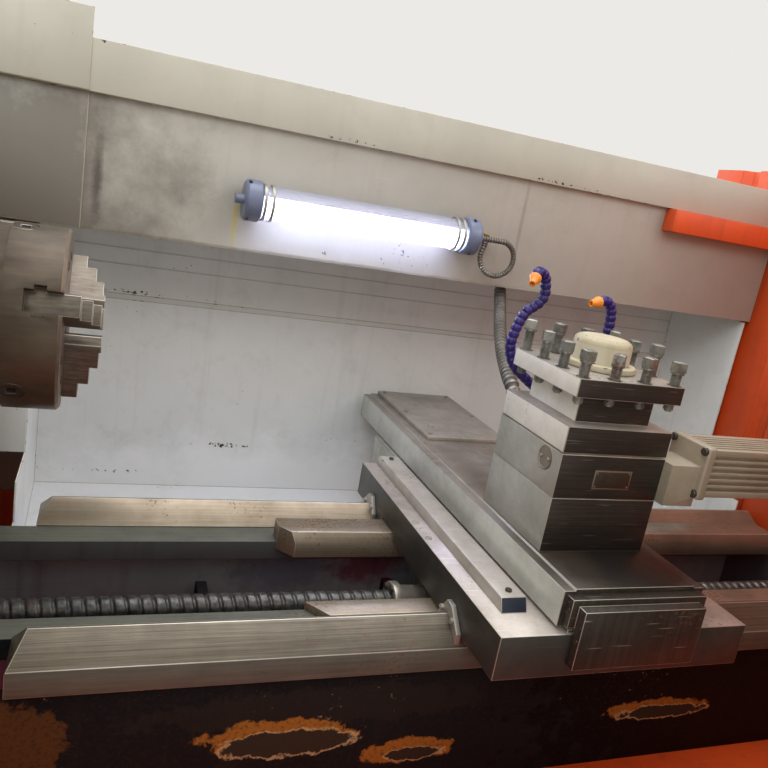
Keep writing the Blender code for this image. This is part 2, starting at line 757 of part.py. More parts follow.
def make_stands():
    """Two fabricated stands, each a hollow-footed box with a panel pocketed in its front."""
    for name, x in (("stand_left", LEFT_STAND_X), ("stand_right", RIGHT_STAND_X)):
        foot = (x[0] + STAND_FOOT_LENGTH, x[1] - STAND_FOOT_LENGTH)
        outline = [
            (x[0], 0), (foot[0], 0), (foot[0], STAND_FOOT_HEIGHT), (foot[1], STAND_FOOT_HEIGHT),
            (foot[1], 0), (x[1], 0), (x[1], STAND_HEIGHT), (x[0], STAND_HEIGHT),
        ]
        stand = piece(name, prism("Y", outline, STAND_Y), "cream_enamel")
        pocket = block(
            shrink(x, STAND_POCKET_MARGIN),
            (STAND_Y[0] - OVERRUN, STAND_Y[0] + STAND_POCKET_DEPTH),
            (STAND_FOOT_HEIGHT + STAND_POCKET_MARGIN, STAND_HEIGHT - STAND_POCKET_MARGIN),
        )
        cut(stand, pocket, "panel")
        inside = block(
            shrink(x, STAND_WALL), shrink(STAND_Y, STAND_WALL), (-OVERRUN, STAND_HEIGHT - STAND_WALL)
        )
        cut(stand, inside, "inside")


def make_tray():
    length = HALF_LENGTH - TRAY_OVERHANG
    tray = open_box(
        (-length, length), (FRONT_FACE_Y, TRAY_BACK_Y), (TRAY_BOTTOM_Z, TRAY_BOTTOM_Z + TRAY_RIM_HEIGHT),
        SHEET, "+Z",
    )
    piece("chip_tray", tray, "orange_enamel")


def bed_rail(side, ledge_y):
    """The section of one bed wall: foot, web and the flange under the ways."""
    outer, inner = BED_WALL_OUTER_Y, BED_WALL_OUTER_Y - BED_WALL
    step = WAY_RIDGE_Y - WAY_INNER_RUN - FIT
    outline = [
        (outer, BED_BOTTOM_Z), (outer, BED_SEAT_Z), (step, BED_SEAT_Z), (step, BED_LEDGE_Z),
        (ledge_y, BED_LEDGE_Z), (ledge_y, BED_LEDGE_Z - BED_FLANGE_DEPTH),
        (inner, BED_LEDGE_Z - BED_FLANGE_DEPTH - BED_FLANGE_SLOPE), (inner, BED_BOTTOM_Z + BED_FOOT_HEIGHT),
        (outer - BED_FOOT_WIDTH, BED_BOTTOM_Z + BED_FOOT_HEIGHT), (outer - BED_FOOT_WIDTH, BED_BOTTOM_Z),
    ]
    return [(side * y, z) for y, z in outline]


def screw_wall_section(reach):
    """The section of a wall that carries a screw's journal, kept below the ways' seats."""
    narrow = BED_LEDGE_FRONT_Y + OVERRUN
    half = [
        (reach, BED_BOTTOM_Z + OVERRUN), (reach, BED_SEAT_Z - EDGE), (narrow, BED_SEAT_Z - EDGE),
        (narrow, BED_LEDGE_Z - EDGE),
    ]
    return half + [(-y, z) for y, z in reversed(half)]


def make_bed():
    """The bed casting: two walls tied by cross ribs, with the chips' way down between them."""
    bed = piece("bed", prism("X", bed_rail(-1, BED_LEDGE_FRONT_Y), BED_X), "black_enamel")
    add(bed, prism("X", bed_rail(1, BED_LEDGE_REAR_Y), BED_X), "rear_wall")
    reach = BED_WALL_OUTER_Y - BED_WALL / 2
    spans = [(HEADSTOCK_X[1], HEADSTOCK_X[1] + SCREW_WALL), (BED_X[1] - SCREW_WALL, BED_X[1])]
    for i, x in enumerate(spans):
        add(bed, prism("X", screw_wall_section(reach), x), f"screw_wall_{i}")
        hole = turned("X", (SCREW_Y, SCREW_Z), [
            (x[0] - OVERRUN, SCREW_JOURNAL_RADIUS + SCREW_JOURNAL_GAP),
            (x[1] + OVERRUN, SCREW_JOURNAL_RADIUS + SCREW_JOURNAL_GAP),
        ], SMALL_SIDES)
        cut(bed, hole, f"journal_{i}")
    step = (BED_X[1] - BED_X[0]) / (RIB_COUNT + 1)
    for i in range(RIB_COUNT):
        start = BED_X[0] + step * (i + 0.5)
        rib = block((start, start + RIB_THICKNESS), (-reach, reach),
                    (BED_BOTTOM_Z + OVERRUN, BED_BOTTOM_Z + RIB_HEIGHT))
        add(bed, rib, f"rib_{i}")


def way_section(side):
    """The raised inverted V on its strip."""
    ridge = WAY_RIDGE_Y
    outer, inner = ridge + WAY_OUTER_RUN, ridge - WAY_INNER_RUN
    outline = [
        (outer, WAY_BOTTOM_Z), (outer, RIDGE_Z - WAY_OUTER_DROP), (ridge + WAY_CREST, RIDGE_Z),
        (ridge - WAY_CREST, RIDGE_Z), (inner, RIDGE_Z - WAY_INNER_DROP), (inner, WAY_BOTTOM_Z),
    ]
    return [(side * y, z) for y, z in outline]


def make_ways():
    """The carriage runs on the two outer ways, and the inner ones are the tail support's."""
    for name, side in (("front_way", -1), ("rear_way", 1)):
        way = piece(name, prism("X", way_section(side), WAY_X), "ground_steel")
        for end, inward in ((0, 1), (1, -1)):
            x = WAY_X[end]
            drop = WAY_HEIGHT / 2
            wedge = [
                (x - inward * OVERRUN, RIDGE_Z + OVERRUN), (x + inward * WAY_END_BEVEL, RIDGE_Z + OVERRUN),
                (x + inward * WAY_END_BEVEL, RIDGE_Z), (x, RIDGE_Z - drop), (x - inward * OVERRUN, RIDGE_Z - drop),
            ]
            reach = WAY_RIDGE_Y + WAY_OUTER_RUN + OVERRUN
            y = sorted((side * reach, side * (WAY_RIDGE_Y - WAY_INNER_RUN - OVERRUN)))
            cut(way, prism("Y", wedge, y), f"end_{end}")
    bottom = BED_LEDGE_Z + FIT
    start, end = TAIL_WAY_X
    y = (-BED_LEDGE_FRONT_Y - FRONT_TAIL_WAY_WIDTH, -BED_LEDGE_FRONT_Y)
    plan = [(start, y[1]), (start + TAIL_WAY_POINT, y[0]), (end, y[0]), (end, y[1])]
    piece("tail_way_front", prism("Z", plan, (bottom, bottom + FRONT_TAIL_WAY_RISE)), "ground_steel")
    low, high = REAR_TAIL_WAY_Y
    run, drop = REAR_TAIL_WAY_SLOPE
    top = bottom + REAR_TAIL_WAY_RISE
    inner = BED_LEDGE_REAR_Y - FIT
    outline = [
        (low, bottom - REAR_TAIL_WAY_HOOK), (low, top - drop), (low + run, top), (high, top), (high, bottom),
        (inner, bottom), (inner, bottom - REAR_TAIL_WAY_HOOK),
    ]
    rear = piece("tail_way_rear", prism("X", outline, TAIL_WAY_X), "ground_steel")
    corner = [
        (start - OVERRUN, low - OVERRUN), (start + TAIL_WAY_POINT, low - OVERRUN),
        (start, middle(REAR_TAIL_WAY_Y)), (start - OVERRUN, middle(REAR_TAIL_WAY_Y)),
    ]
    cut(rear, prism("Z", corner, (bottom - REAR_TAIL_WAY_HOOK - OVERRUN, top + OVERRUN)), "point")


def make_headstock():
    """The spindle housing, arched over the screw's motor."""
    bottom = BED_LEDGE_Z + FIT
    half = HEADSTOCK_BASE_HALF_WIDTH
    side = [(half * a, bottom + HEADSTOCK_HEIGHT * b) for a, b in HEADSTOCK_SIDE_SHARES]
    arch = HEADSTOCK_ARCH_HALF_WIDTH
    outline = side + [(-y, z) for y, z in reversed(side)]
    outline += [
        (-arch, bottom), (-arch, bottom + HEADSTOCK_ARCH_HEIGHT), (arch, bottom + HEADSTOCK_ARCH_HEIGHT),
        (arch, bottom),
    ]
    headstock = piece("headstock", prism("X", outline, HEADSTOCK_X), "cream_enamel")
    bevel(headstock, HEADSTOCK_BEVEL)
    centre = (0, SPINDLE_Z)
    front = HEADSTOCK_X[1]
    cap = turned("X", centre, [
        (front - OVERRUN, NOSE_CAP_RADIUS), (front + NOSE_CAP_LENGTH - EDGE, NOSE_CAP_RADIUS),
        (front + NOSE_CAP_LENGTH, NOSE_CAP_RADIUS - EDGE),
    ], ROUND_SIDES)
    add(headstock, cap, "nose_cap")
    inside = HEADSTOCK_INSIDE_HALF_WIDTH
    roof = bottom + HEADSTOCK_HEIGHT - HEADSTOCK_WALL
    cut(headstock, block(shrink(HEADSTOCK_X, HEADSTOCK_WALL), (-inside, inside), (bottom - OVERRUN, roof)), "inside")
    bore = SPINDLE_RADIUS + SPINDLE_RUNNING_GAP
    ends = (HEADSTOCK_X[0] - OVERRUN, front + NOSE_CAP_LENGTH + OVERRUN)
    cut(headstock, turned("X", centre, [(ends[0], bore), (ends[1], bore)], ROUND_SIDES), "bore")


def make_spindle():
    """The hollow spindle, its flanged nose and the belt pulley on its tail, on one axis."""
    axis = joint("spindle_axis", (0, 0, SPINDLE_Z))
    centre = (0, SPINDLE_Z)
    face = HEADSTOCK_X[1] + NOSE_CAP_LENGTH + FIT
    nose = face + SPINDLE_FLANGE_LENGTH
    tail = HEADSTOCK_X[0] - SPINDLE_TAIL_LENGTH
    pulley = HEADSTOCK_X[0] - FIT - SPINDLE_PULLEY_LENGTH
    rows = [
        (tail, SPINDLE_BORE_RADIUS), (tail, SPINDLE_RADIUS - EDGE), (tail + EDGE, SPINDLE_RADIUS),
        (pulley, SPINDLE_RADIUS), (pulley, SPINDLE_PULLEY_RADIUS),
    ]
    pitch = SPINDLE_PULLEY_LENGTH / (SPINDLE_PULLEY_GROOVES + 1)
    for i in range(SPINDLE_PULLEY_GROOVES):
        root = pulley + pitch * (i + 1)
        rows += [
            (root - pitch / 3, SPINDLE_PULLEY_RADIUS),
            (root, SPINDLE_PULLEY_RADIUS - SPINDLE_PULLEY_GROOVE_DEPTH),
            (root + pitch / 3, SPINDLE_PULLEY_RADIUS),
        ]
    rows += [
        (HEADSTOCK_X[0] - FIT, SPINDLE_PULLEY_RADIUS), (HEADSTOCK_X[0] - FIT, SPINDLE_RADIUS),
        (face, SPINDLE_RADIUS), (face, SPINDLE_FLANGE_RADIUS), (nose, SPINDLE_FLANGE_RADIUS),
        (nose, SPINDLE_BORE_RADIUS),
    ]
    spindle = turned("X", centre, rows, ROUND_SIDES, through=True)
    spindle = piece("spindle", spindle, "dark_steel", (0, 0, SPINDLE_Z), ROUND)
    chuck = make_chuck(nose + FIT)
    carry(axis, spindle, chuck)


def slot_section(grow):
    """The T section of a jaw's slide, across and along the spindle, measured back from the chuck's face."""
    narrow, wide = JAW_WIDTH / 2 + grow, JAW_LUG_WIDTH / 2 + grow
    near, far = JAW_LUG_DEPTHS[0] - grow, JAW_LUG_DEPTHS[1] + grow
    deep = JAW_DEPTH + grow
    half = [(narrow, near), (wide, near), (wide, far), (narrow, far), (narrow, deep)]
    return half, narrow


def make_chuck(back):
    """The three-jaw chuck: T-slotted body, stepped jaws and the three key pinions of its scroll."""
    face = back + CHUCK_LENGTH
    centre = (0, SPINDLE_Z)
    chuck = piece("chuck_body", turned("X", centre, [
        (back, CHUCK_BORE_RADIUS), (back, CHUCK_RADIUS - CHUCK_STEP_DEPTH),
        (back + CHUCK_STEP_LENGTH, CHUCK_RADIUS - CHUCK_STEP_DEPTH), (back + CHUCK_STEP_LENGTH, CHUCK_RADIUS),
        (face - CHUCK_BEVEL, CHUCK_RADIUS), (face, CHUCK_RADIUS - CHUCK_BEVEL), (face, CHUCK_BORE_RADIUS),
    ], CHUCK_SIDES, through=True), "oiled_steel", (0, 0, SPINDLE_Z), ROUND)
    half, narrow = slot_section(FIT)
    section = [(narrow, -OVERRUN)] + half
    section += [(-a, b) for a, b in reversed(section)]
    for i in range(JAW_COUNT):
        angle = JAW_ANGLE + i * 2 * math.pi / JAW_COUNT
        slot = prism("Z", [(a, face - depth) for a, depth in section], (0, CHUCK_RADIUS + OVERRUN))
        cut(chuck, radial(slot, angle), f"slot_{i}")
        make_jaw(i, angle, face)
        make_pinion(chuck, i, angle + math.pi / JAW_COUNT, face)
    return chuck


def radial(mesh, angle):
    """Turns a mesh drawn as (across, along the spindle, outwards) to stand out of the spindle's axis."""
    for vert in mesh.verts:
        across, along, out = vert.co
        y = out * math.cos(angle) - across * math.sin(angle)
        z = out * math.sin(angle) + across * math.cos(angle)
        vert.co = (along, y, SPINDLE_Z + z)
    return mesh


def make_jaw(index, angle, face):
    """One stepped jaw: its T slide in the body and four steps that stand out of the face."""
    low, high = JAW_SPAN
    length = high - low
    stairs = []
    for share, height in JAW_STEP_SHARES:
        if stairs:
            stairs.append((low + length * share, stairs[-1][1]))
        stairs.append((low + length * share, face + JAW_PROUD * height))
    stairs.append((high, stairs[-1][1]))
    outline = [(low, face - JAW_DEPTH)] + stairs + [(high, face - JAW_DEPTH)]
    upright = prism("X", [(x, r) for r, x in outline], (-JAW_WIDTH / 2, JAW_WIDTH / 2))
    jaw = piece(f"jaw_{index + 1}", radial(upright, angle), "ground_steel", (0, 0, SPINDLE_Z))
    near, far = JAW_LUG_DEPTHS
    half = JAW_LUG_WIDTH / 2
    lug = [(-half, face - near), (-half, face - far), (half, face - far), (half, face - near)]
    tip = (JAW_LUG_WIDTH - JAW_TIP_WIDTH) / 2
    add(jaw, radial(prism("Z", lug, (low + tip, high)), angle), "lugs")
    for side in (-1, 1):
        corner = [
            (side * JAW_TIP_WIDTH / 2, low - OVERRUN), (side * (half + OVERRUN), low - OVERRUN),
            (side * (half + OVERRUN), low + half + OVERRUN - JAW_TIP_WIDTH / 2), (side * JAW_TIP_WIDTH / 2, low),
        ]
        wedge = prism("Y", corner, (face - JAW_DEPTH - OVERRUN, face + JAW_PROUD + OVERRUN))
        cut(jaw, radial(wedge, angle), f"point_{side}")
    slide = joint(f"jaw_{index + 1}_slide", (0, 0, SPINDLE_Z))
    carry(slide, jaw)


def make_pinion(chuck, index, angle, face):
    """A pinion that the chuck key turns, in its hole in the rim, with a square socket."""
    along = face - PINION_DEPTH
    outer = CHUCK_RADIUS - PINION_SEAT
    inner = outer - PINION_LENGTH
    hole = PINION_RADIUS + PINION_RUNNING_GAP
    pocket = turned("Z", (0, along), [(inner - FIT, hole), (CHUCK_RADIUS + OVERRUN, hole)], SMALL_SIDES)
    cut(chuck, radial(pocket, angle), f"pinion_hole_{index}")
    reach = KEY_SQUARE / 2
    rows = [
        (inner, 0), (inner, PINION_RADIUS), (outer, PINION_RADIUS), (outer, reach, "square"),
        (outer - KEY_DEPTH, reach, "square"), (outer - KEY_DEPTH, 0),
    ]
    mesh = turned("Z", (0, along), rows, SMALL_SIDES)
    seat = (along, outer * math.cos(angle), SPINDLE_Z + outer * math.sin(angle))
    pinion = piece(f"chuck_pinion_{index + 1}", radial(mesh, angle), "dark_steel", seat, ROUND)
    carry(joint(f"pinion_{index + 1}_axis", seat), pinion)


def make_z_drive():
    """The long ball screw between the ways, its nut under the saddle and its motor under the headstock."""
    centre = (SCREW_Y, SCREW_Z)
    left, right = HEADSTOCK_X[1] + SCREW_WALL, BED_X[1] - SCREW_WALL
    journal = SCREW_WALL - EDGE
    screw = piece("z_ball_screw", turned("X", centre, [
        (left - journal, SCREW_JOURNAL_RADIUS), (left + FIT, SCREW_JOURNAL_RADIUS), (left + FIT, SCREW_RADIUS),
        (right - FIT, SCREW_RADIUS), (right - FIT, SCREW_JOURNAL_RADIUS), (right + journal, SCREW_JOURNAL_RADIUS),
    ], SCREW_SIDES), "ground_steel", (0, SCREW_Y, SCREW_Z), ROUND)
    carry(joint("z_screw_axis", (0, SCREW_Y, SCREW_Z)), screw)
    bore = SCREW_RADIUS + Z_NUT_GAP
    start, end = Z_NUT_X
    flange = start + Z_NUT_FLANGE
    nut = turned("X", centre, [
        (start, bore), (start, Z_NUT_FLANGE_RADIUS - EDGE), (start + EDGE, Z_NUT_FLANGE_RADIUS),
        (flange, Z_NUT_FLANGE_RADIUS), (flange, Z_NUT_RADIUS), (end, Z_NUT_RADIUS), (end, bore),
    ], SCREW_SIDES, through=True)
    piece("z_nut", nut, "ground_steel", smooth_angle=ROUND)
    face = HEADSTOCK_X[1] - FIT
    inner = face - Z_MOTOR_FLANGE_LENGTH
    motor = piece("z_motor", block(
        (inner, face), (SCREW_Y - Z_MOTOR_FLANGE / 2, SCREW_Y + Z_MOTOR_FLANGE / 2),
        (SCREW_Z - Z_MOTOR_FLANGE / 2, SCREW_Z + Z_MOTOR_FLANGE / 2),
    ), "dark_steel")
    body = Z_MOTOR_BODY / 2
    add(motor, block(
        (face - Z_MOTOR_LENGTH, inner + EDGE), (SCREW_Y - body, SCREW_Y + body), (SCREW_Z - body, SCREW_Z + body),
    ), "body")


def flank(run, drop, depth):
    """How far a way's flank stands from its ridge, this deep below the crest."""
    return WAY_CREST + depth * (run - WAY_CREST) / drop


def saddle_section():
    """The saddle's section across the bed: it rides on the two ridges and clears the inner ways."""
    outer = flank(WAY_OUTER_RUN, WAY_OUTER_DROP, SADDLE_BELOW_RIDGE)
    inner = flank(WAY_INNER_RUN, WAY_INNER_DROP, SADDLE_BELOW_RIDGE)
    peak = RIDGE_Z + 2 * FIT
    ridge = WAY_RIDGE_Y
    low = SADDLE_BOTTOM_Z
    notch = (REAR_TAIL_WAY_Y[0] - TAIL_WAY_CLEARANCE, REAR_TAIL_WAY_Y[1] + TAIL_WAY_CLEARANCE)
    roof = BED_LEDGE_Z + FIT + REAR_TAIL_WAY_RISE + TAIL_WAY_CLEARANCE
    shift = 2 * FIT
    return [
        (SADDLE_Y[0], low), (-ridge - outer - shift, low), (-ridge - WAY_CREST, peak), (-ridge + WAY_CREST, peak),
        (-ridge + inner + shift, low), (notch[0], low), (notch[0], roof), (notch[1], roof), (notch[1], low),
        (ridge - inner - shift, low), (ridge - WAY_CREST, peak), (ridge + WAY_CREST, peak),
        (ridge + outer + shift, low), (SADDLE_Y[1], low), (SADDLE_Y[1], SADDLE_TOP_Z),
        (SADDLE_Y[0], SADDLE_TOP_Z),
    ]


def make_saddle():
    """The saddle, with two guide strips for the cross slide and a channel for its screw."""
    axis = joint("z_slide", (middle(SADDLE_X), 0, RIDGE_Z))
    saddle = piece("saddle", prism("X", saddle_section(), SADDLE_X), "oiled_steel")
    bracket = block(
        Z_BRACKET_X, (SCREW_Y - Z_BRACKET_HALF_WIDTH, SCREW_Y + Z_BRACKET_HALF_WIDTH),
        (SCREW_Z - Z_BRACKET_DROP, SADDLE_BOTTOM_Z + OVERRUN),
    )
    add(saddle, bracket, "nut_bracket")
    bore = Z_NUT_RADIUS + 2 * FIT
    cut(saddle, turned("X", (SCREW_Y, SCREW_Z), [
        (Z_BRACKET_X[0] - OVERRUN, bore), (Z_BRACKET_X[1] + OVERRUN, bore),
    ], SCREW_SIDES), "nut_bore")
    guide_z = (SADDLE_TOP_Z - OVERRUN, SADDLE_TOP_Z + GUIDE_HEIGHT)
    inner = shrink(SLIDE_X, GUIDE_INSET)
    for i, x in enumerate(((inner[0], inner[0] + GUIDE_WIDTH), (inner[1] - GUIDE_WIDTH, inner[1]))):
        add(saddle, block(x, shrink(SADDLE_Y, SADDLE_BEVEL), guide_z), f"guide_{i}")
    floor = SADDLE_BOTTOM_Z + CHANNEL_FLOOR
    x = (SLIDE_MIDDLE_X - CHANNEL_HALF_WIDTH, SLIDE_MIDDLE_X + CHANNEL_HALF_WIDTH)
    y = (SADDLE_Y[0] + CHANNEL_FRONT_WALL, SADDLE_Y[1] + OVERRUN)
    cut(saddle, block(x, y, (floor, SADDLE_TOP_Z + GUIDE_HEIGHT + OVERRUN)), "channel")
    journal = X_SCREW_JOURNAL_RADIUS + SCREW_JOURNAL_GAP
    cut(saddle, turned("Y", (SLIDE_MIDDLE_X, X_SCREW_Z), [
        (y[0] - CHANNEL_FRONT_WALL / 2, journal), (y[0] + OVERRUN, journal),
    ], SMALL_SIDES), "front_journal")
    top = SADDLE_TOP_Z + FIT
    low, high = TRIP_BAR_Y
    lean = TRIP_BAR_HEIGHT / 2
    outline = [(low, top), (low + lean, top + TRIP_BAR_HEIGHT), (high - lean, top + TRIP_BAR_HEIGHT), (high, top)]
    bar = piece("trip_bar", prism("X", outline, TRIP_BAR_X), "ground_steel")
    x_motor = make_x_motor()
    wipers = make_wipers()
    carry(axis, saddle, bar, bpy.data.objects["z_nut"], x_motor, *wipers)


def make_x_motor():
    """The box over the cross slide's motor, on the back of the saddle."""
    front = SADDLE_Y[1] + FIT
    top = SADDLE_TOP_Z
    motor = block(SLIDE_X, (front, front + X_MOTOR_Y_LENGTH), (top - X_MOTOR_HEIGHT, top))
    motor = bevel(piece("x_motor", motor, "dark_steel"), X_MOTOR_BEVEL)
    inside = block(
        shrink(SLIDE_X, X_MOTOR_WALL), shrink((front, front + X_MOTOR_Y_LENGTH), X_MOTOR_WALL),
        (top - X_MOTOR_HEIGHT - OVERRUN, top - X_MOTOR_WALL),
    )
    return cut(motor, inside, "inside")


def make_wipers():
    """A bent wiper plate over each outer way at both ends of the saddle."""
    found = []
    depths = (WAY_OUTER_DROP * WIPER_OUTER_SHARE, WAY_INNER_DROP * WIPER_INNER_SHARE)
    outer, inner = flank(WAY_OUTER_RUN, WAY_OUTER_DROP, depths[0]), flank(WAY_INNER_RUN, WAY_INNER_DROP, depths[1])
    peak = RIDGE_Z + WIPER_CLEARANCE
    low = (peak - depths[0], peak - depths[1])
    half = [
        (outer, low[0]), (WAY_CREST, peak), (-WAY_CREST, peak), (-inner, low[1]),
        (-inner, low[1] + WIPER_BAND), (-WIPER_BAND / 2, peak + WIPER_BAND), (WIPER_BAND / 2, peak + WIPER_BAND),
        (outer, low[0] + WIPER_BAND),
    ]
    ends = (
        ("left", (SADDLE_X[0] - FIT - WIPER_THICKNESS, SADDLE_X[0] - FIT)),
        ("right", (SADDLE_X[1] + FIT, SADDLE_X[1] + FIT + WIPER_THICKNESS)),
    )
    for row, side in (("front", -1), ("rear", 1)):
        outline = [(side * (WAY_RIDGE_Y + y), z) for y, z in half]
        for end, x in ends:
            found.append(piece(f"way_wiper_{row}_{end}", prism("X", outline, x), "galvanised_steel"))
    return found


def make_x_screw():
    """The cross slide's screw, in its channel, from the front wall to the motor's face."""
    front, back = SADDLE_Y[0] + CHANNEL_FRONT_WALL, SADDLE_Y[1]
    centre = (SLIDE_MIDDLE_X, X_SCREW_Z)
    screw = piece("x_ball_screw", turned("Y", centre, [
        (front - CHANNEL_FRONT_WALL / 2 + FIT, X_SCREW_JOURNAL_RADIUS), (front + FIT, X_SCREW_JOURNAL_RADIUS),
        (front + FIT, X_SCREW_RADIUS), (back, X_SCREW_RADIUS),
    ], SCREW_SIDES), "ground_steel", (SLIDE_MIDDLE_X, 0, X_SCREW_Z), ROUND)
    carry(joint("x_screw_axis", (SLIDE_MIDDLE_X, 0, X_SCREW_Z)), screw)


def make_cross_slide():
    """The cross slide with its stepped edges and nut, and the plates fixed on it."""
    axis = joint("x_slide", (SLIDE_MIDDLE_X, middle(SLIDE_Y), SLIDE_BOTTOM_Z))
    low, high = SLIDE_X
    step = SLIDE_TOP_Z - SLIDE_LEDGE_DROP
    outline = [
        (low, SLIDE_BOTTOM_Z), (high, SLIDE_BOTTOM_Z), (high, step), (high - SLIDE_LEDGE, step),
        (high - SLIDE_LEDGE, SLIDE_TOP_Z), (low + SLIDE_LEDGE, SLIDE_TOP_Z), (low + SLIDE_LEDGE, step), (low, step),
    ]
    slide = piece("cross_slide", prism("Y", outline, SLIDE_Y), "ground_steel")
    floor = SADDLE_BOTTOM_Z + CHANNEL_FLOOR + X_NUT_FLOOR_GAP
    x = (SLIDE_MIDDLE_X - X_NUT_HALF_WIDTH, SLIDE_MIDDLE_X + X_NUT_HALF_WIDTH)
    add(slide, block(x, X_NUT_Y, (floor, SLIDE_BOTTOM_Z + OVERRUN)), "nut")
    bore = X_SCREW_RADIUS + X_NUT_GAP
    ends = (X_NUT_Y[0] - OVERRUN, X_NUT_Y[1] + OVERRUN)
    cut(slide, turned("Y", (SLIDE_MIDDLE_X, X_SCREW_Z), [(ends[0], bore), (ends[1], bore)], SCREW_SIDES), "nut_bore")
    plate_z = (SLIDE_TOP_Z + FIT, SLIDE_TOP_Z + FIT + REAR_PLATE_THICKNESS)
    plate = piece("slide_rear_plate", block(REAR_PLATE_X, (REAR_PLATE_START_Y, SLIDE_Y[1]), plate_z), "ground_steel")
    cover = make_slide_cover()
    riser, base = make_turret_body()
    motor_parts = make_turret_motor()
    hoses = make_hoses()
    carry(axis, slide, plate, cover, riser, base, *motor_parts, *hoses)


def make_slide_cover():
    """The stepped cover on the slide's front end, in two layers."""
    back = SLIDE_Y[0] - FIT
    cover = None
    for inset, thick, drop, height in zip(
        COVER_LAYER_INSETS, COVER_LAYER_THICKNESSES, COVER_LAYER_TOP_DROPS, COVER_LAYER_HEIGHTS
    ):
        top = SLIDE_TOP_Z - drop
        layer = block(shrink(SLIDE_X, inset), (back - thick, back), (top - height, top))
        if cover is None:
            cover = piece("slide_front_cover", layer, "ground_steel")
        else:
            add(cover, layer, "front_layer")
        back -= thick - EDGE
    return cover


def make_turret_body():
    """The riser with its coolant manifold, and the turret's fixed base with the conduit's gland."""
    half = TURRET_SIDE / 2
    x, y = (TURRET_X - half, TURRET_X + half), (TURRET_Y - half, TURRET_Y + half)
    riser = piece("turret_riser", block(x, y, (RISER_BOTTOM_Z, RISER_BOTTOM_Z + RISER_HEIGHT)), "oiled_steel")
    manifold = block(
        MANIFOLD_X, (y[1] - EDGE, y[1] + MANIFOLD_Y_LENGTH), (RISER_BOTTOM_Z, RISER_BOTTOM_Z + MANIFOLD_HEIGHT)
    )
    add(riser, manifold, "manifold")
    base = piece("turret_base", block(x, y, (BASE_BOTTOM_Z, BASE_TOP_Z)), "oiled_steel")
    ring = turned("Z", (TURRET_X, TURRET_Y), [
        (BASE_TOP_Z - OVERRUN, SEAM_RING_RADIUS), (HEAD_BOTTOM_Z - FIT, SEAM_RING_RADIUS),
    ], ROUND_SIDES)
    add(base, ring, "seam_ring")
    gland = turned("Y", (TURRET_X + CONDUIT_GLAND_OFFSET, BASE_BOTTOM_Z + CONDUIT_GLAND_RISE), [
        (y[1] - EDGE, CONDUIT_GLAND_RADIUS), (y[1] + CONDUIT_GLAND_LENGTH, CONDUIT_GLAND_RADIUS),
    ], SMALL_SIDES)
    add(base, gland, "gland")
    return riser, base


def make_tool_head():
    """The square four-way head with its clamp screws, and the cap over its spindle."""
    axis = joint("turret_axis", (TURRET_X, TURRET_Y, HEAD_BOTTOM_Z))
    half = TURRET_SIDE / 2
    neck = half - HEAD_NECK_INSET
    rows = [
        (HEAD_BOTTOM_Z, half, "square"), (HEAD_NECK_Z, half, "square"), (HEAD_NECK_Z, neck, "square"),
        (HEAD_UPPER_Z, neck, "square"), (HEAD_UPPER_Z, half, "square"), (HEAD_TOP_Z, half, "square"),
    ]
    origin = (TURRET_X, TURRET_Y, HEAD_BOTTOM_Z)
    head = piece("tool_head", turned("Z", (TURRET_X, TURRET_Y), rows, 8), "ground_steel", origin)
    far, near = HEAD_SCREW_OFFSETS
    offsets = (-far, -near, near, far)
    screws = bmesh.new()
    for dx, shares in zip(offsets, HEAD_SCREW_STAND_SHARES):
        for dy, share in zip(offsets, shares):
            if max(abs(dx), abs(dy)) == far:
                clamp_screw(screws, (TURRET_X + dx, TURRET_Y + dy), HEAD_SCREW_STANDS * share)
    add(head, screws, "clamp_screws")
    cap_z = HEAD_TOP_Z + FIT
    ring_top = cap_z + CAP_RING_HEIGHT
    top = ring_top + CAP_HEIGHT
    rows = [(cap_z, CAP_RING_RADIUS), (ring_top, CAP_RING_RADIUS), (ring_top, CAP_RADIUS)]
    for share in (0, 1 / 3, 2 / 3, 1):
        turn = share * math.pi / 2
        rows.append((
            top - CAP_ROUND + CAP_ROUND * math.sin(turn), CAP_RADIUS - CAP_ROUND + CAP_ROUND * math.cos(turn),
        ))
    cap = piece("turret_cap", turned("Z", (TURRET_X, TURRET_Y), rows, ROUND_SIDES), "cream_enamel", origin, ROUND)
    carry(axis, head, cap)


def clamp_screw(mesh, centre, stands):
    """One square-headed clamp screw with a collar, from its tip in the tool slot to its head."""
    top = HEAD_TOP_Z + stands
    collar = top - HEAD_SCREW_SQUARE_HEIGHT
    under = collar - HEAD_SCREW_COLLAR_HEIGHT
    square = HEAD_SCREW_SQUARE / 2
    turned("Z", centre, [
        (HEAD_UPPER_Z - HEAD_SCREW_TIP, HEAD_SCREW_WAIST), (HEAD_UPPER_Z - HEAD_SCREW_TIP / 2, HEAD_SCREW_RADIUS),
        (under, HEAD_SCREW_RADIUS), (under, HEAD_SCREW_COLLAR_RADIUS), (collar, HEAD_SCREW_COLLAR_RADIUS),
        (collar, square, "square"), (top - HEAD_SCREW_CHAMFER, square, "square"),
        (top, square - HEAD_SCREW_CHAMFER, "square"),
    ], 8, mesh=mesh)


def fin_side(half, depth):
    """One side of a finned square, as offsets along the side and out from the centre."""
    usable = 2 * (half - MOTOR_FIN_MARGIN)
    pitch = usable / MOTOR_FIN_COUNT
    points = [(-half, half)]
    for i in range(MOTOR_FIN_COUNT):
        start = -usable / 2 + pitch * (i + (1 - MOTOR_FIN_SHARE) / 2)
        end = start + pitch * MOTOR_FIN_SHARE
        points += [(start, half), (start, half - depth), (end, half - depth), (end, half)]
    return points


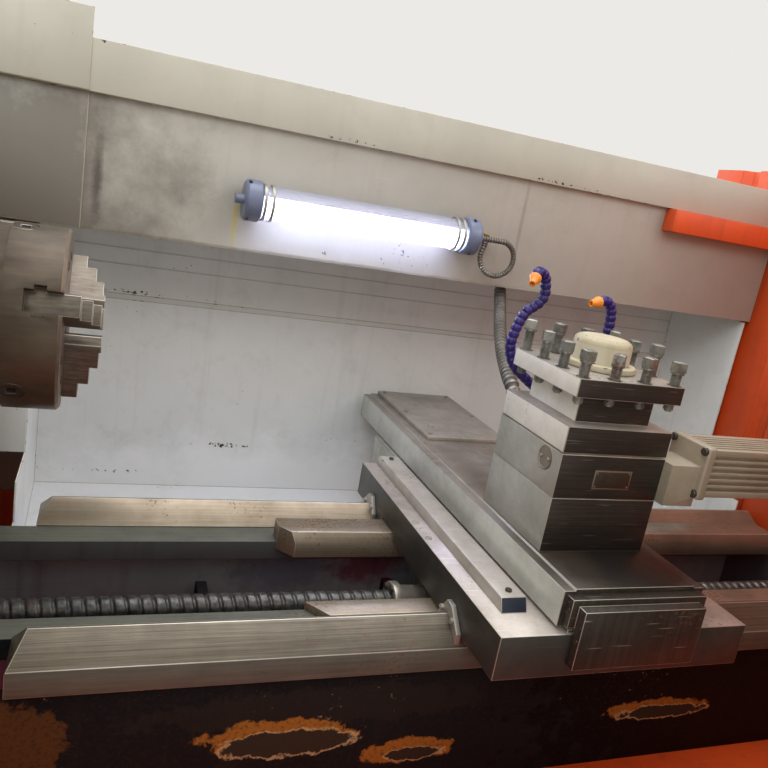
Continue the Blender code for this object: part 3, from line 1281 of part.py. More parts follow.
def make_turret_motor():
    """The cast adapter on the turret's base, and the finned motor that turns the head."""
    start = TURRET_X + TURRET_SIDE / 2 + FIT
    neck_z = RISER_BOTTOM_Z + MOTOR_NECK_Z
    axis_z = RISER_BOTTOM_Z + MOTOR_AXIS_RISE
    flange = MOTOR_FLANGE_SIDE / 2
    adapter = piece("motor_adapter", block(
        MOTOR_FLANGE_X, (MOTOR_Y - flange, MOTOR_Y + flange), (axis_z - flange, axis_z + flange)
    ), "cast_aluminium")
    bevel(adapter, SADDLE_BEVEL)
    add(adapter, block(
        (start, MOTOR_FLANGE_X[0] + OVERRUN), (MOTOR_Y - MOTOR_NECK_HALF_WIDTH, MOTOR_Y + MOTOR_NECK_HALF_WIDTH),
        (neck_z - MOTOR_NECK_HALF_HEIGHT, neck_z + MOTOR_NECK_HALF_HEIGHT),
    ), "neck")
    half = MOTOR_BODY_SIDE / 2
    outline = []
    for turn in range(4):
        cos, sin = round(math.cos(turn * math.pi / 2)), round(math.sin(turn * math.pi / 2))
        for a, b in fin_side(half, MOTOR_FIN_DEPTH):
            outline.append((MOTOR_Y + a * cos + b * sin, axis_z + b * cos - a * sin))
    motor = prism("X", outline, (MOTOR_FLANGE_X[1] + FIT, MOTOR_BODY_END_X))
    return adapter, piece("turret_motor", motor, "cast_aluminium")


def from_turret(points):
    """Places a route's points, which are measured from the turret's centre at the foot of its riser."""
    origin = Vector((TURRET_X, TURRET_Y, RISER_BOTTOM_Z))
    return [origin + Vector(point) for point in points]


def make_hoses():
    """Two jointed coolant hoses that stand in the manifold, and the conduit to the turret."""
    found = []
    top = MANIFOLD_HEIGHT + FIT
    for name, start, route in (
        ("coolant_hose_left", LEFT_HOSE_START, LEFT_HOSE_ROUTE),
        ("coolant_hose_right", RIGHT_HOSE_START, RIGHT_HOSE_ROUTE),
    ):
        lead = [(*start, top), (*start, top + HOSE_PITCH / 2), (*start, top + HOSE_PITCH)]
        points = smooth_route(from_turret(lead + list(route)), HOSE_PITCH / 2)
        radii = [HOSE_RADIUS if i % 2 else HOSE_WAIST for i in range(len(points))]
        radii[-3:] = [HOSE_RADIUS, HOSE_WAIST, NOZZLE_TIP_RADIUS]
        found.append(piece(name, swept(points, radii, HOSE_SIDES), "indigo_acetal", smooth_angle=ROUND))
    y = TURRET_Y + TURRET_SIDE / 2 + CONDUIT_GLAND_LENGTH + FIT
    start = (TURRET_X + CONDUIT_GLAND_OFFSET, y, BASE_BOTTOM_Z + CONDUIT_GLAND_RISE)
    end = (*CONDUIT_TOP, trolley_bottom() - FIT)
    route = smooth_route([start] + from_turret(CONDUIT_ROUTE) + [end], CONDUIT_SPACING)
    found.append(tube("conduit", route, CONDUIT_RADIUS, "galvanised_steel"))
    return found


def rail_foot_z():
    """The lower face of the trolley's rail."""
    return PAN_CEILING_Z - RAIL_DROP - RAIL_FOOT_THICKNESS


def trolley_bottom():
    return rail_foot_z() - FIT - TROLLEY_FLOOR


def make_trolley():
    """The block that hangs on the guard's rail and tows the conduit along with the saddle."""
    x, y = CONDUIT_TOP
    low = rail_foot_z() - FIT
    high = low + RAIL_FOOT_THICKNESS + 2 * FIT
    foot, stem = RAIL_FOOT / 2 + FIT, RAIL_STEM / 2 + FIT
    outer = foot + TROLLEY_WALL
    half = [
        (outer, trolley_bottom()), (outer, high + TROLLEY_LIP), (stem, high + TROLLEY_LIP), (stem, high),
        (foot, high), (foot, low),
    ]
    outline = [(y + a, z) for a, z in half] + [(y - a, z) for a, z in reversed(half)]
    trolley = prism("X", outline, (x - TROLLEY_LENGTH / 2, x + TROLLEY_LENGTH / 2))
    carry(bpy.data.objects["z_slide"], piece("conduit_trolley", trolley, "grey_plastic"))


def make_guard_upper():
    """The upper guard: face panel, proud top rail and the skin down the machine's back."""
    middle_y = GUARD_FACE_Y + SHEET / 2
    low, high = GUARD_PANEL_Z
    rail_y = middle_y - GUARD_RAIL_PROUD
    back = TRAY_BACK_Y + FIT + SHEET / 2
    top = GUARD_RAIL_TOP_Z - SHEET / 2
    points = [
        (middle_y + GUARD_LIP, low + SHEET / 2), (middle_y, low + SHEET / 2), (middle_y, high), (rail_y, high),
        (rail_y, top), (back, top), (back, GUARD_SKIN_BOTTOM_Z),
    ]
    guard = piece("guard_upper", prism("X", folded(points, SHEET), GUARD_X), "cream_enamel")
    left = block(
        (GUARD_X[0], GUARD_LEFT_END_X), (GUARD_FACE_Y - GUARD_LEFT_PROUD, GUARD_FACE_Y + SHEET / 2),
        (low + SHEET / 2, high - SHEET),
    )
    add(guard, left, "left_panel")
    rail = GUARD_FACE_Y - GUARD_RAIL_PROUD
    raised = block(
        (GUARD_X[0], GUARD_LEFT_END_X), (rail - GUARD_LEFT_PROUD, rail + SHEET / 2), (high, GUARD_LEFT_TOP_Z)
    )
    add(guard, raised, "left_rail")


def make_guard_pan():
    """The recessed pan behind the bed: ceiling with the trolley's rail, back, slope and both ends."""
    start = GUARD_FACE_Y + SHEET + FIT
    back = PAN_BACK_Y + SHEET / 2
    inner = BED_WALL_OUTER_Y + FIT + SHEET / 2
    points = [
        (start, PAN_CEILING_Z), (back, PAN_CEILING_Z), (back, PAN_LEDGE_Z), (back - PAN_LEDGE, PAN_LEDGE_Z - PAN_LEDGE),
        (back - PAN_LEDGE, PAN_BACK_BOTTOM_Z), (inner, PAN_SLOPE_BOTTOM_Z), (inner, PAN_APRON_BOTTOM_Z),
    ]
    pan = piece("guard_pan", prism("X", folded(points, SHEET), PAN_X), "cream_enamel")
    overlap = EDGE / 2
    behind = start + GUARD_LIP
    clear = WAY_RIDGE_Y + WAY_OUTER_RUN + EDGE
    face = [
        (behind, PAN_CEILING_Z + overlap), (back, PAN_CEILING_Z + overlap), (back + overlap, PAN_LEDGE_Z),
        (back - PAN_LEDGE + overlap, PAN_LEDGE_Z - PAN_LEDGE), (back - PAN_LEDGE + overlap, PAN_BACK_BOTTOM_Z),
        (inner + overlap, PAN_SLOPE_BOTTOM_Z), (inner + overlap, BED_SEAT_Z - EDGE), (clear, BED_SEAT_Z - EDGE),
        (clear, PAN_POST_Z[0]), (start, PAN_POST_Z[0]), (start, PAN_POST_Z[1]), (behind, PAN_POST_Z[1]),
    ]
    for i, x in enumerate(((PAN_X[0], PAN_X[0] + SHEET), (PAN_X[1] - SHEET, PAN_X[1]))):
        add(pan, prism("X", face, x), f"end_{i}")
    post = block((PAN_X[0] - PAN_POST_WIDTH, PAN_X[0] + SHEET / 2), (start, start + SHEET), PAN_POST_Z)
    add(pan, post, "post")
    y = CONDUIT_TOP[1]
    foot = rail_foot_z()
    add(pan, block(
        RAIL_X, (y - RAIL_STEM / 2, y + RAIL_STEM / 2), (foot + EDGE, PAN_CEILING_Z)
    ), "rail_stem")
    add(pan, block(
        RAIL_X, (y - RAIL_FOOT / 2, y + RAIL_FOOT / 2), (foot, foot + RAIL_FOOT_THICKNESS)
    ), "rail_foot")


def make_end_wall():
    """The ribbed end wall, with the bar that runs from its top along the guard."""
    low, high = END_WALL_Y
    line = END_WALL_X + SHEET / 2
    pitch = (high - low) / END_WALL_RIB_COUNT
    points = [(line, low)]
    for i in range(END_WALL_RIB_COUNT):
        centre = low + pitch * (i + 0.5)
        half = END_WALL_RIB_WIDTH / 2
        points += [
            (line, centre - half), (line + END_WALL_RIB, centre - half + END_WALL_RIB),
            (line + END_WALL_RIB, centre + half - END_WALL_RIB), (line, centre + half),
        ]
    points.append((line, high))
    wall = prism("Z", folded(points, SHEET), (TRAY_FLOOR_Z + FIT, END_WALL_TOP_Z - FIT))
    wall = piece("end_wall", wall, "orange_enamel")
    y = GUARD_FACE_Y - FIT
    add(wall, block((ORANGE_BAR_START_X, END_WALL_X + SHEET / 2), (y - ORANGE_BAR_DEPTH, y), ORANGE_BAR_Z), "bar")


def make_front():
    """The fixed front: apron with the door's ledge, a panel each side of the opening, and the top beam."""
    line = FRONT_FACE_Y - FIT - SHEET / 2
    low, high = APRON_Z
    points = [(line, low), (line, high), (line - LEDGE_REACH, high), (line - LEDGE_REACH, high + LEDGE_LIP_HEIGHT)]
    piece("front_apron", prism("X", folded(points, SHEET), (-HALF_LENGTH, HALF_LENGTH)), "cream_enamel")
    z = (LEDGE_TOP_Z + FIT, BEAM_Z[0] - FIT)
    edge = HALF_LENGTH - SHEET / 2
    left = [
        (-edge, line + PANEL_SIDE_RETURN), (-edge, line), (OPENING_X[0], line), (OPENING_X[0], line + PANEL_RETURN),
    ]
    piece("front_panel_left", prism("Z", folded(left, SHEET), z), "cream_enamel")
    right = [
        (OPENING_X[1], line + PANEL_RETURN), (OPENING_X[1], line), (edge, line), (edge, line + PANEL_SIDE_RETURN),
    ]
    piece("front_panel_right", prism("Z", folded(right, SHEET), z), "cream_enamel")
    front = line - LEDGE_REACH - SHEET / 2
    bottom, top = BEAM_Z
    leaf = front + SHEET / 2
    rear = FRONT_FACE_Y - SHEET / 2
    points = [
        (leaf, bottom - BEAM_LIP), (leaf, top - SHEET / 2), (rear, top - SHEET / 2), (rear, bottom + SHEET / 2),
        (leaf + BEAM_SLOT, bottom + SHEET / 2),
    ]
    piece("front_beam", prism("X", folded(points, SHEET), (-HALF_LENGTH, HALF_LENGTH)), "cream_enamel")


def rounded(x, z, radius, steps=4):
    """A rectangle with round corners."""
    points = []
    for cx, cz, turn in (
        (x[1] - radius, z[1] - radius, 0), (x[0] + radius, z[1] - radius, 1),
        (x[0] + radius, z[0] + radius, 2), (x[1] - radius, z[0] + radius, 3),
    ):
        for i in range(steps + 1):
            angle = (turn + i / steps) * math.pi / 2
            points.append((cx + radius * math.cos(angle), cz + radius * math.sin(angle)))
    return points


def make_door():
    """The sliding door, drawn open, with its window pane let into the back."""
    x = (-HALF_LENGTH, OPENING_X[0] + DOOR_OVERLAP)
    panel_front = FRONT_FACE_Y - FIT - SHEET
    back = panel_front - DOOR_SIDE_GAP
    front = back - DOOR_THICKNESS
    z = (LEDGE_TOP_Z + FIT, BEAM_Z[0] - FIT)
    axis = joint("door_slide", (middle(x), middle((front, back)), z[0]))
    door = piece("door_panel", block(x, (front, back), z), "cream_enamel")
    window_x = shrink(x, DOOR_WINDOW_MARGIN_X)
    hole = rounded(window_x, DOOR_WINDOW_Z, DOOR_WINDOW_ROUND)
    cut(door, prism("Y", hole, (front - OVERRUN, back + OVERRUN)), "window")
    rebate = rounded(shrink(window_x, -DOOR_REBATE), shrink(DOOR_WINDOW_Z, -DOOR_REBATE), DOOR_WINDOW_ROUND)
    cut(door, prism("Y", rebate, (back - DOOR_REBATE_DEPTH, back + OVERRUN)), "rebate")
    frame = DOOR_REBATE + DOOR_FRAME
    inner_x, inner_z = shrink(window_x, -frame), shrink(DOOR_WINDOW_Z, -frame)
    outer_x, outer_z = shrink(x, DOOR_FRAME), shrink(z, DOOR_FRAME)
    depth = (front + SHEET, back + OVERRUN)
    for i, (recess_x, recess_z) in enumerate((
        ((outer_x[0], inner_x[0]), outer_z), ((inner_x[1], outer_x[1]), outer_z),
        (inner_x, (outer_z[0], inner_z[0])), (inner_x, (inner_z[1], outer_z[1])),
    )):
        cut(door, block(recess_x, depth, recess_z), f"recess_{i}")
    pane_grow = FIT - DOOR_REBATE
    pane = rounded(shrink(window_x, pane_grow), shrink(DOOR_WINDOW_Z, pane_grow), DOOR_WINDOW_ROUND)
    seat = back - DOOR_REBATE_DEPTH + FIT
    window = piece("door_window", prism("Y", pane, (seat, seat + DOOR_PANE)), "clear_polycarbonate")
    centre = x[1] - DOOR_HANDLE_INSET
    reach = front - DOOR_HANDLE_REACH
    low, high = DOOR_HANDLE_Z
    lean = DOOR_HANDLE_REACH / 2
    handle = [
        (front + OVERRUN, low), (reach, low + lean), (reach, high - lean), (front + OVERRUN, high),
        (front + OVERRUN, high - DOOR_HANDLE_THICKNESS), (reach + DOOR_HANDLE_THICKNESS, high - lean - DOOR_HANDLE_THICKNESS / 2),
        (reach + DOOR_HANDLE_THICKNESS, low + lean + DOOR_HANDLE_THICKNESS / 2), (front + OVERRUN, low + DOOR_HANDLE_THICKNESS),
    ]
    half = DOOR_HANDLE_WIDTH / 2
    add(door, prism("X", handle, (centre - half, centre + half)), "handle")
    carry(axis, door, window)


def make_casing():
    """The open-backed cover over the spindle's belt drive, and the electrical cabinet."""
    casing = open_box(CASING_X, CASING_Y, (TRAY_FLOOR_Z + FIT, CASING_TOP_Z), SHEET, "+X")
    casing = piece("headstock_casing", casing, "cream_enamel")
    ends = (CASING_X[0] - OVERRUN, CASING_X[0] + SHEET + OVERRUN)
    hole = turned("X", (0, SPINDLE_Z), [(ends[0], CASING_HOLE_RADIUS), (ends[1], CASING_HOLE_RADIUS)], ROUND_SIDES)
    cut(casing, hole, "bar_hole")
    rim = TRAY_BOTTOM_Z + TRAY_RIM_HEIGHT + FIT
    cabinet = piece("electrical_cabinet", block(CABINET_X, (CABINET_Y, BACK_FACE_Y), (rim, CABINET_TOP_Z)), "cream_enamel")
    bevel(cabinet, CABINET_BEVEL)
    pocket = block(
        shrink(CABINET_X, CABINET_POCKET_MARGIN), (BACK_FACE_Y - CABINET_POCKET, BACK_FACE_Y + OVERRUN),
        shrink((rim, CABINET_TOP_Z), CABINET_POCKET_MARGIN),
    )
    cut(cabinet, pocket, "door")
    inside = block(
        shrink(CABINET_X, SHEET),
        (CABINET_Y - OVERRUN, BACK_FACE_Y - CABINET_POCKET - SHEET),
        shrink((rim, CABINET_TOP_Z), SHEET),
    )
    cut(cabinet, inside, "inside")


def make_operator_box():
    """The control box on the fixed panel: screen, key field, stop button and handwheel."""
    back = FRONT_FACE_Y - 2 * FIT - SHEET
    face = back - BOX_DEPTH
    desk = face - BOX_DESK_PROUD
    height = BOX_Z[1] - BOX_Z[0]
    chin, lip, shoulder = (BOX_Z[0] + height * share for share in BOX_DESK_SHARES)
    outline = [
        (back, BOX_Z[0]), (back, BOX_Z[1]), (face, BOX_Z[1]), (face, shoulder), (desk, lip), (desk, chin),
        (face, BOX_Z[0]),
    ]
    box = piece("operator_box", prism("X", outline, BOX_X), "cream_enamel")
    bevel(box, BOX_BEVEL)
    cut(box, block(SCREEN_X, (face - OVERRUN, face + SCREEN_POCKET), SCREEN_Z), "screen_pocket")
    cut(box, block(KEYPAD_X, (face - OVERRUN, face + KEYPAD_POCKET), SCREEN_Z), "key_field")
    inside = block(
        shrink(BOX_X, BOX_WALL), (face + SCREEN_POCKET + SHEET, back + OVERRUN), shrink(BOX_Z, BOX_WALL)
    )
    cut(box, inside, "inside")
    glass_y = (face + SCREEN_POCKET - FIT - SCREEN_THICKNESS, face + SCREEN_POCKET - FIT)
    piece("screen", block(shrink(SCREEN_X, FIT), glass_y, shrink(SCREEN_Z, FIT)), "smoked_glass")
    z = BOX_Z[0] + CONTROL_RISE
    hole = STOP_STEM_RADIUS + STOP_STEM_GAP
    cut(box, turned("Y", (STOP_X, z), [
        (desk - OVERRUN, hole), (desk + STOP_HOLE_DEPTH, hole),
    ], SMALL_SIDES), "stop_hole")
    rim = desk - STOP_TRAVEL - STOP_SPARE
    stop = turned("Y", (STOP_X, z), [
        (rim - STOP_CAP_LENGTH, STOP_CAP_RADIUS - 2 * EDGE), (rim - STOP_CAP_LENGTH + EDGE, STOP_CAP_RADIUS),
        (rim, STOP_CAP_RADIUS), (rim, STOP_STEM_RADIUS), (desk + STOP_HOLE_DEPTH - STOP_TRAVEL - STOP_SPARE, STOP_STEM_RADIUS),
    ], SMALL_SIDES)
    stop = piece("emergency_stop", stop, "red_plastic", (STOP_X, desk, z), ROUND)
    carry(joint("emergency_stop_slide", (STOP_X, desk, z)), stop)
    rear = desk - FIT
    front = rear - HANDWHEEL_LENGTH
    wheel = piece("handwheel", turned("Y", (HANDWHEEL_X, z), [
        (front, HANDWHEEL_RADIUS - 2 * EDGE), (front + EDGE, HANDWHEEL_RADIUS), (rear, HANDWHEEL_RADIUS),
    ], ROUND_SIDES), "grey_plastic", (HANDWHEEL_X, rear, z), ROUND)
    knob_x = HANDWHEEL_X + HANDWHEEL_RADIUS * HANDWHEEL_KNOB_SHARE
    add(wheel, turned("Y", (knob_x, z), [
        (front - HANDWHEEL_KNOB_LENGTH, HANDWHEEL_KNOB_RADIUS), (front + OVERRUN, HANDWHEEL_KNOB_RADIUS),
    ], SMALL_SIDES), "knob")
    carry(joint("handwheel_axis", (HANDWHEEL_X, rear, z)), wheel)


def lamp_cap(name, x, gland_end):
    """One end cap of the lamp, padded out to the guard behind it."""
    centre = (LAMP_Y, LAMP_Z)
    cap = piece(name, turned("X", centre, [
        (x[0], LAMP_CAP_RADIUS - LAMP_CAP_BEVEL), (x[0] + LAMP_CAP_BEVEL, LAMP_CAP_RADIUS),
        (x[1] - LAMP_CAP_BEVEL, LAMP_CAP_RADIUS), (x[1], LAMP_CAP_RADIUS - LAMP_CAP_BEVEL),
    ], ROUND_SIDES), "grey_plastic", smooth_angle=ROUND)
    pad_z = (LAMP_Z - LAMP_PAD_HALF_WIDTH, LAMP_Z + LAMP_PAD_HALF_WIDTH)
    add(cap, block(shrink(x, LAMP_CAP_BEVEL), (LAMP_Y, GUARD_FACE_Y - FIT), pad_z), "pad")
    tip = gland_end[0] + gland_end[1] * LAMP_GLAND_LENGTH
    root = gland_end[0] - gland_end[1] * EDGE
    span = sorted((tip, root))
    gland = turned("X", centre, [(span[0], LAMP_GLAND_RADIUS), (span[1], LAMP_GLAND_RADIUS)], SMALL_SIDES)
    add(cap, gland, "gland")


def make_lamp():
    """The tubular work lamp on the upper guard, and the conduit that loops from it into the guard."""
    left, right = LAMP_X
    lamp_cap("lamp_cap_left", (left, left + LAMP_CAP_LENGTH), (left, -1))
    lamp_cap("lamp_cap_right", (right - LAMP_CAP_LENGTH, right), (right, 1))
    span = (left + LAMP_CAP_LENGTH + FIT, right - LAMP_CAP_LENGTH - FIT)
    inner = LAMP_TUBE_RADIUS - LAMP_TUBE_WALL
    glass = turned("X", (LAMP_Y, LAMP_Z), [
        (span[0], inner), (span[0], LAMP_TUBE_RADIUS), (span[1], LAMP_TUBE_RADIUS), (span[1], inner),
    ], ROUND_SIDES, through=True)
    piece("lamp_tube", glass, "clear_tube", smooth_angle=ROUND)
    start = right + LAMP_GLAND_LENGTH + FIT
    centre = (start + LAMP_CONDUIT_LEAD, LAMP_Z - LAMP_CONDUIT_LOOP)
    points = [Vector((start, LAMP_Y, LAMP_Z))]
    wall = GUARD_FACE_Y - FIT
    deep = wall - LAMP_CONDUIT_STANDOFF - LAMP_Y
    steps = 20
    for i in range(steps + 1):
        turn = LAMP_CONDUIT_TURN * i / steps
        share = i / steps
        points.append(Vector((
            centre[0] + LAMP_CONDUIT_LOOP * math.sin(turn), LAMP_Y + deep * share,
            centre[1] + LAMP_CONDUIT_LOOP * math.cos(turn),
        )))
    last, before = points[-1], points[-2]
    onward = (last - before).normalized()
    bend = last + onward * LAMP_CONDUIT_STANDOFF
    points.append(Vector((bend.x, wall - LAMP_CONDUIT_STANDOFF / 2, bend.z)))
    points.append(Vector((bend.x, wall - EDGE, bend.z)))
    points.append(Vector((bend.x, wall, bend.z)))
    tube("lamp_conduit", smooth_route(points, LAMP_CONDUIT_SPACING), LAMP_CONDUIT_RADIUS, "galvanised_steel")


def main():
    for obj in list(bpy.data.objects):
        bpy.data.objects.remove(obj, do_unlink=True)
    make_stands()
    make_tray()
    make_bed()
    make_ways()
    make_headstock()
    make_spindle()
    make_z_drive()
    make_saddle()
    make_x_screw()
    make_cross_slide()
    make_tool_head()
    make_trolley()
    make_guard_upper()
    make_guard_pan()
    make_end_wall()
    make_front()
    make_door()
    make_casing()
    make_operator_box()
    make_lamp()


main()
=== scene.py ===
import json
import math

import bmesh
import bpy
from mathutils import Matrix, Vector


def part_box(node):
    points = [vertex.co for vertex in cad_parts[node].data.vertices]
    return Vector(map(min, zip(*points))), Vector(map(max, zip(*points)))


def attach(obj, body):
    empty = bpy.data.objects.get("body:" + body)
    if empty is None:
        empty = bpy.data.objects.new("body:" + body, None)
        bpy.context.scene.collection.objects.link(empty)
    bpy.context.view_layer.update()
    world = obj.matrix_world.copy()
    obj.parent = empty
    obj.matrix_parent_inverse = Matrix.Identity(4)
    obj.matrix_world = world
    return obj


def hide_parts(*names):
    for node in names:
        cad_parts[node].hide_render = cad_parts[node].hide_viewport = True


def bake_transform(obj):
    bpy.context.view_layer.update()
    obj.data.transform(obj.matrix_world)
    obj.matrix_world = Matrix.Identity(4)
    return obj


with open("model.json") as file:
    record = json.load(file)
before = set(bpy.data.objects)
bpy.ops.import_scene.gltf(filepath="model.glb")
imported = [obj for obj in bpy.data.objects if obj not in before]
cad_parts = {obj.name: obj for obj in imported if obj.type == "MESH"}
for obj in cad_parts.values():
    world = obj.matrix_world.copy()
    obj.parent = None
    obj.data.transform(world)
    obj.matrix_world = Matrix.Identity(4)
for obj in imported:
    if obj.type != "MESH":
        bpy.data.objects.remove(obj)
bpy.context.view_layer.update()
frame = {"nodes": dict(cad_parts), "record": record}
bodyOf = {node: body for body, nodes in frame["record"]["behaviour"]["bodies"].items() for node in nodes}
print("frame loaded")

# the photograph's camera, fitted to its vanishing points
view = {
    "place": (-0.255, -1.099, 1.385),
    "right": (0.9310, -0.3233, 0.1698),
    "up": (-0.0765, 0.2821, 0.9563),
    "sensor": 36,  # mm
    "lens": 34.95,  # mm
    "nearest": 0.02,
}


def linearColour(hexValue):
    channels = []
    for i in (0, 2, 4):
        c = int(hexValue[i : i + 2], 16) / 255
        channels.append(c / 12.92 if c <= 0.04045 else ((c + 0.055) / 1.055) ** 2.4)
    return (*channels, 1.0)


# adds a node, sets its options, and fills or links its inputs
def addNode(tree, kind, inputs=None, **options):
    node = tree.nodes.new(kind)
    for name, value in options.items():
        setattr(node, name, value)
    for key, value in (inputs or {}).items():
        if isinstance(value, bpy.types.NodeSocket):
            tree.links.new(value, node.inputs[key])
        else:
            node.inputs[key].default_value = value
    return node


def mathNode(tree, operation, *values):
    return addNode(tree, "ShaderNodeMath", dict(enumerate(values)), operation=operation).outputs[0]


# a material under way, with short names for the nodes that the finishes share
class Finish:
    def __init__(self, name):
        self.material = bpy.data.materials.new(name)
        self.material.use_nodes = True
        self.tree = self.material.node_tree
        self.shader = self.tree.nodes["Principled BSDF"]

    def place(self):
        return addNode(self.tree, "ShaderNodeTexCoord").outputs["Object"]

    def noise(self, at, scale, detail, rough=0.5):
        inputs = {"Vector": at, "Scale": scale, "Detail": detail, "Roughness": rough}
        return addNode(self.tree, "ShaderNodeTexNoise", inputs).outputs["Fac"]

    def remap(self, value, low, high, top=1.0, bottom=0.0):
        inputs = {"Value": value, "From Min": low, "From Max": high, "To Min": bottom, "To Max": top}
        return addNode(self.tree, "ShaderNodeMapRange", inputs).outputs[0]

    # lays a colour over another by its share
    def tint(self, share, under, over):
        under = linearColour(under) if isinstance(under, str) else under
        inputs = {0: share, 6: under, 7: linearColour(over)}
        return addNode(self.tree, "ShaderNodeMix", inputs, data_type="RGBA").outputs[2]

    def stretch(self, at, scale, turn=(0.0, 0.0, 0.0)):
        inputs = {"Vector": at, "Scale": scale, "Rotation": turn}
        return addNode(self.tree, "ShaderNodeMapping", inputs).outputs[0]

    def plus(self, value, more):
        return mathNode(self.tree, "ADD", value, more)

    # value times factor, plus more
    def scaled(self, value, factor, more):
        return mathNode(self.tree, "MULTIPLY_ADD", value, factor, more)

    # how far a point lies from a patch's centre, as a share of the patch's reach
    def away(self, at, centre, reach):
        kind = "ShaderNodeVectorMath"
        offset = addNode(self.tree, kind, {0: at, 1: centre}, operation="SUBTRACT").outputs[0]
        offset = addNode(
            self.tree, kind, {0: offset, 1: tuple(1 / r for r in reach)}, operation="MULTIPLY"
        ).outputs[0]
        return addNode(self.tree, kind, {0: offset}, operation="LENGTH").outputs["Value"]

    def wire(self, height, strength, distance=0.0006, **sockets):
        bump = addNode(
            self.tree, "ShaderNodeBump", {"Height": height, "Strength": strength, "Distance": distance}
        )
        for name, socket in {"Normal": bump.outputs[0], **sockets}.items():
            self.tree.links.new(socket, self.shader.inputs[name.replace("_", " ")])

    # constant values, set on the shader's own sockets
    def fix(self, **values):
        for name, value in values.items():
            self.shader.inputs[name.replace("_", " ")].default_value = value
        return self.material


def makeCamera():
    data = bpy.data.cameras.new("photoCamera")
    data.lens = view["lens"]
    data.sensor_width = view["sensor"]
    data.sensor_fit = "HORIZONTAL"
    data.clip_start = view["nearest"]
    camera = bpy.data.objects.new("photoCamera", data)
    right, up = Vector(view["right"]).normalized(), Vector(view["up"]).normalized()
    back = right.cross(up).normalized()
    up = back.cross(right)
    turn = Matrix((right, up, back)).transposed().to_4x4()
    camera.matrix_world = Matrix.Translation(view["place"]) @ turn
    bpy.context.scene.collection.objects.link(camera)
    bpy.context.scene.camera = camera


studio = {
    "backdrop": "eceae6",
    "light": "f2f1ee",
    "floor": "dedbd5",
    "floorHalf": 9,
    "floorLift": 0.28,
    "ambient": 0.85,
    "lamps": (  # place, aim, size, watts
        ((-1.6, -2.8, 3.4), (0.2, 0.0, 1.0), 2.4, 50),
        ((2.4, -2.2, 3.0), (0.3, 0.0, 1.0), 2.0, 30),
        ((0.2, 0.2, 4.2), (0.2, 0.0, 0.9), 2.8, 80),
        ((0.0, 3.2, 2.8), (0.0, 0.5, 0.9), 2.4, 40),
    ),
}


def makeStudio():
    world = bpy.data.worlds.new("paleRoom")
    bpy.context.scene.world = world
    world.use_nodes = True
    tree = world.node_tree
    tree.nodes.clear()
    path = addNode(tree, "ShaderNodeLightPath").outputs
    seen = mathNode(tree, "MAXIMUM", path["Is Camera Ray"], path["Is Glossy Ray"])
    seen = mathNode(tree, "MAXIMUM", seen, path["Is Transmission Ray"])
    colours = (studio["light"], studio["ambient"]), (studio["backdrop"], 1.0)
    plain, pale = (
        addNode(tree, "ShaderNodeBackground", {"Color": linearColour(colour), "Strength": strength}).outputs[0]
        for colour, strength in colours
    )
    mixed = addNode(tree, "ShaderNodeMixShader", {0: seen, 1: plain, 2: pale})
    addNode(tree, "ShaderNodeOutputWorld", {"Surface": mixed.outputs[0]})
    for i, (place, aim, size, watts) in enumerate(studio["lamps"]):
        data = bpy.data.lights.new(f"softLamp{i}", "AREA")
        data.size = size
        data.energy = watts
        light = bpy.data.objects.new(f"softLamp{i}", data)
        light.location = place
        light.rotation_euler = (Vector(aim) - Vector(place)).to_track_quat("-Z", "Y").to_euler()
        bpy.context.scene.collection.objects.link(light)
    mesh = bmesh.new()
    half = studio["floorHalf"]
    mesh.faces.new([mesh.verts.new((x * half, y * half, 0)) for x, y in ((-1, -1), (1, -1), (1, 1), (-1, 1))])
    data = bpy.data.meshes.new("studioFloor")
    mesh.to_mesh(data)
    mesh.free()
    floor = bpy.data.objects.new("studioFloor", data)
    bpy.context.scene.collection.objects.link(floor)
    # painted concrete: plain and pale, a little brighter where it is seen or mirrored
    finish = Finish("paleFloor")
    path = addNode(finish.tree, "ShaderNodeLightPath").outputs
    lift = mathNode(finish.tree, "MAXIMUM", path["Is Camera Ray"], path["Is Glossy Ray"])
    lift = mathNode(finish.tree, "MULTIPLY", lift, studio["floorLift"])
    finish.tree.links.new(lift, finish.shader.inputs["Emission Strength"])
    colour = linearColour(studio["floor"])
    data.materials.append(finish.fix(Base_Color=colour, Roughness=0.9, Emission_Color=colour))


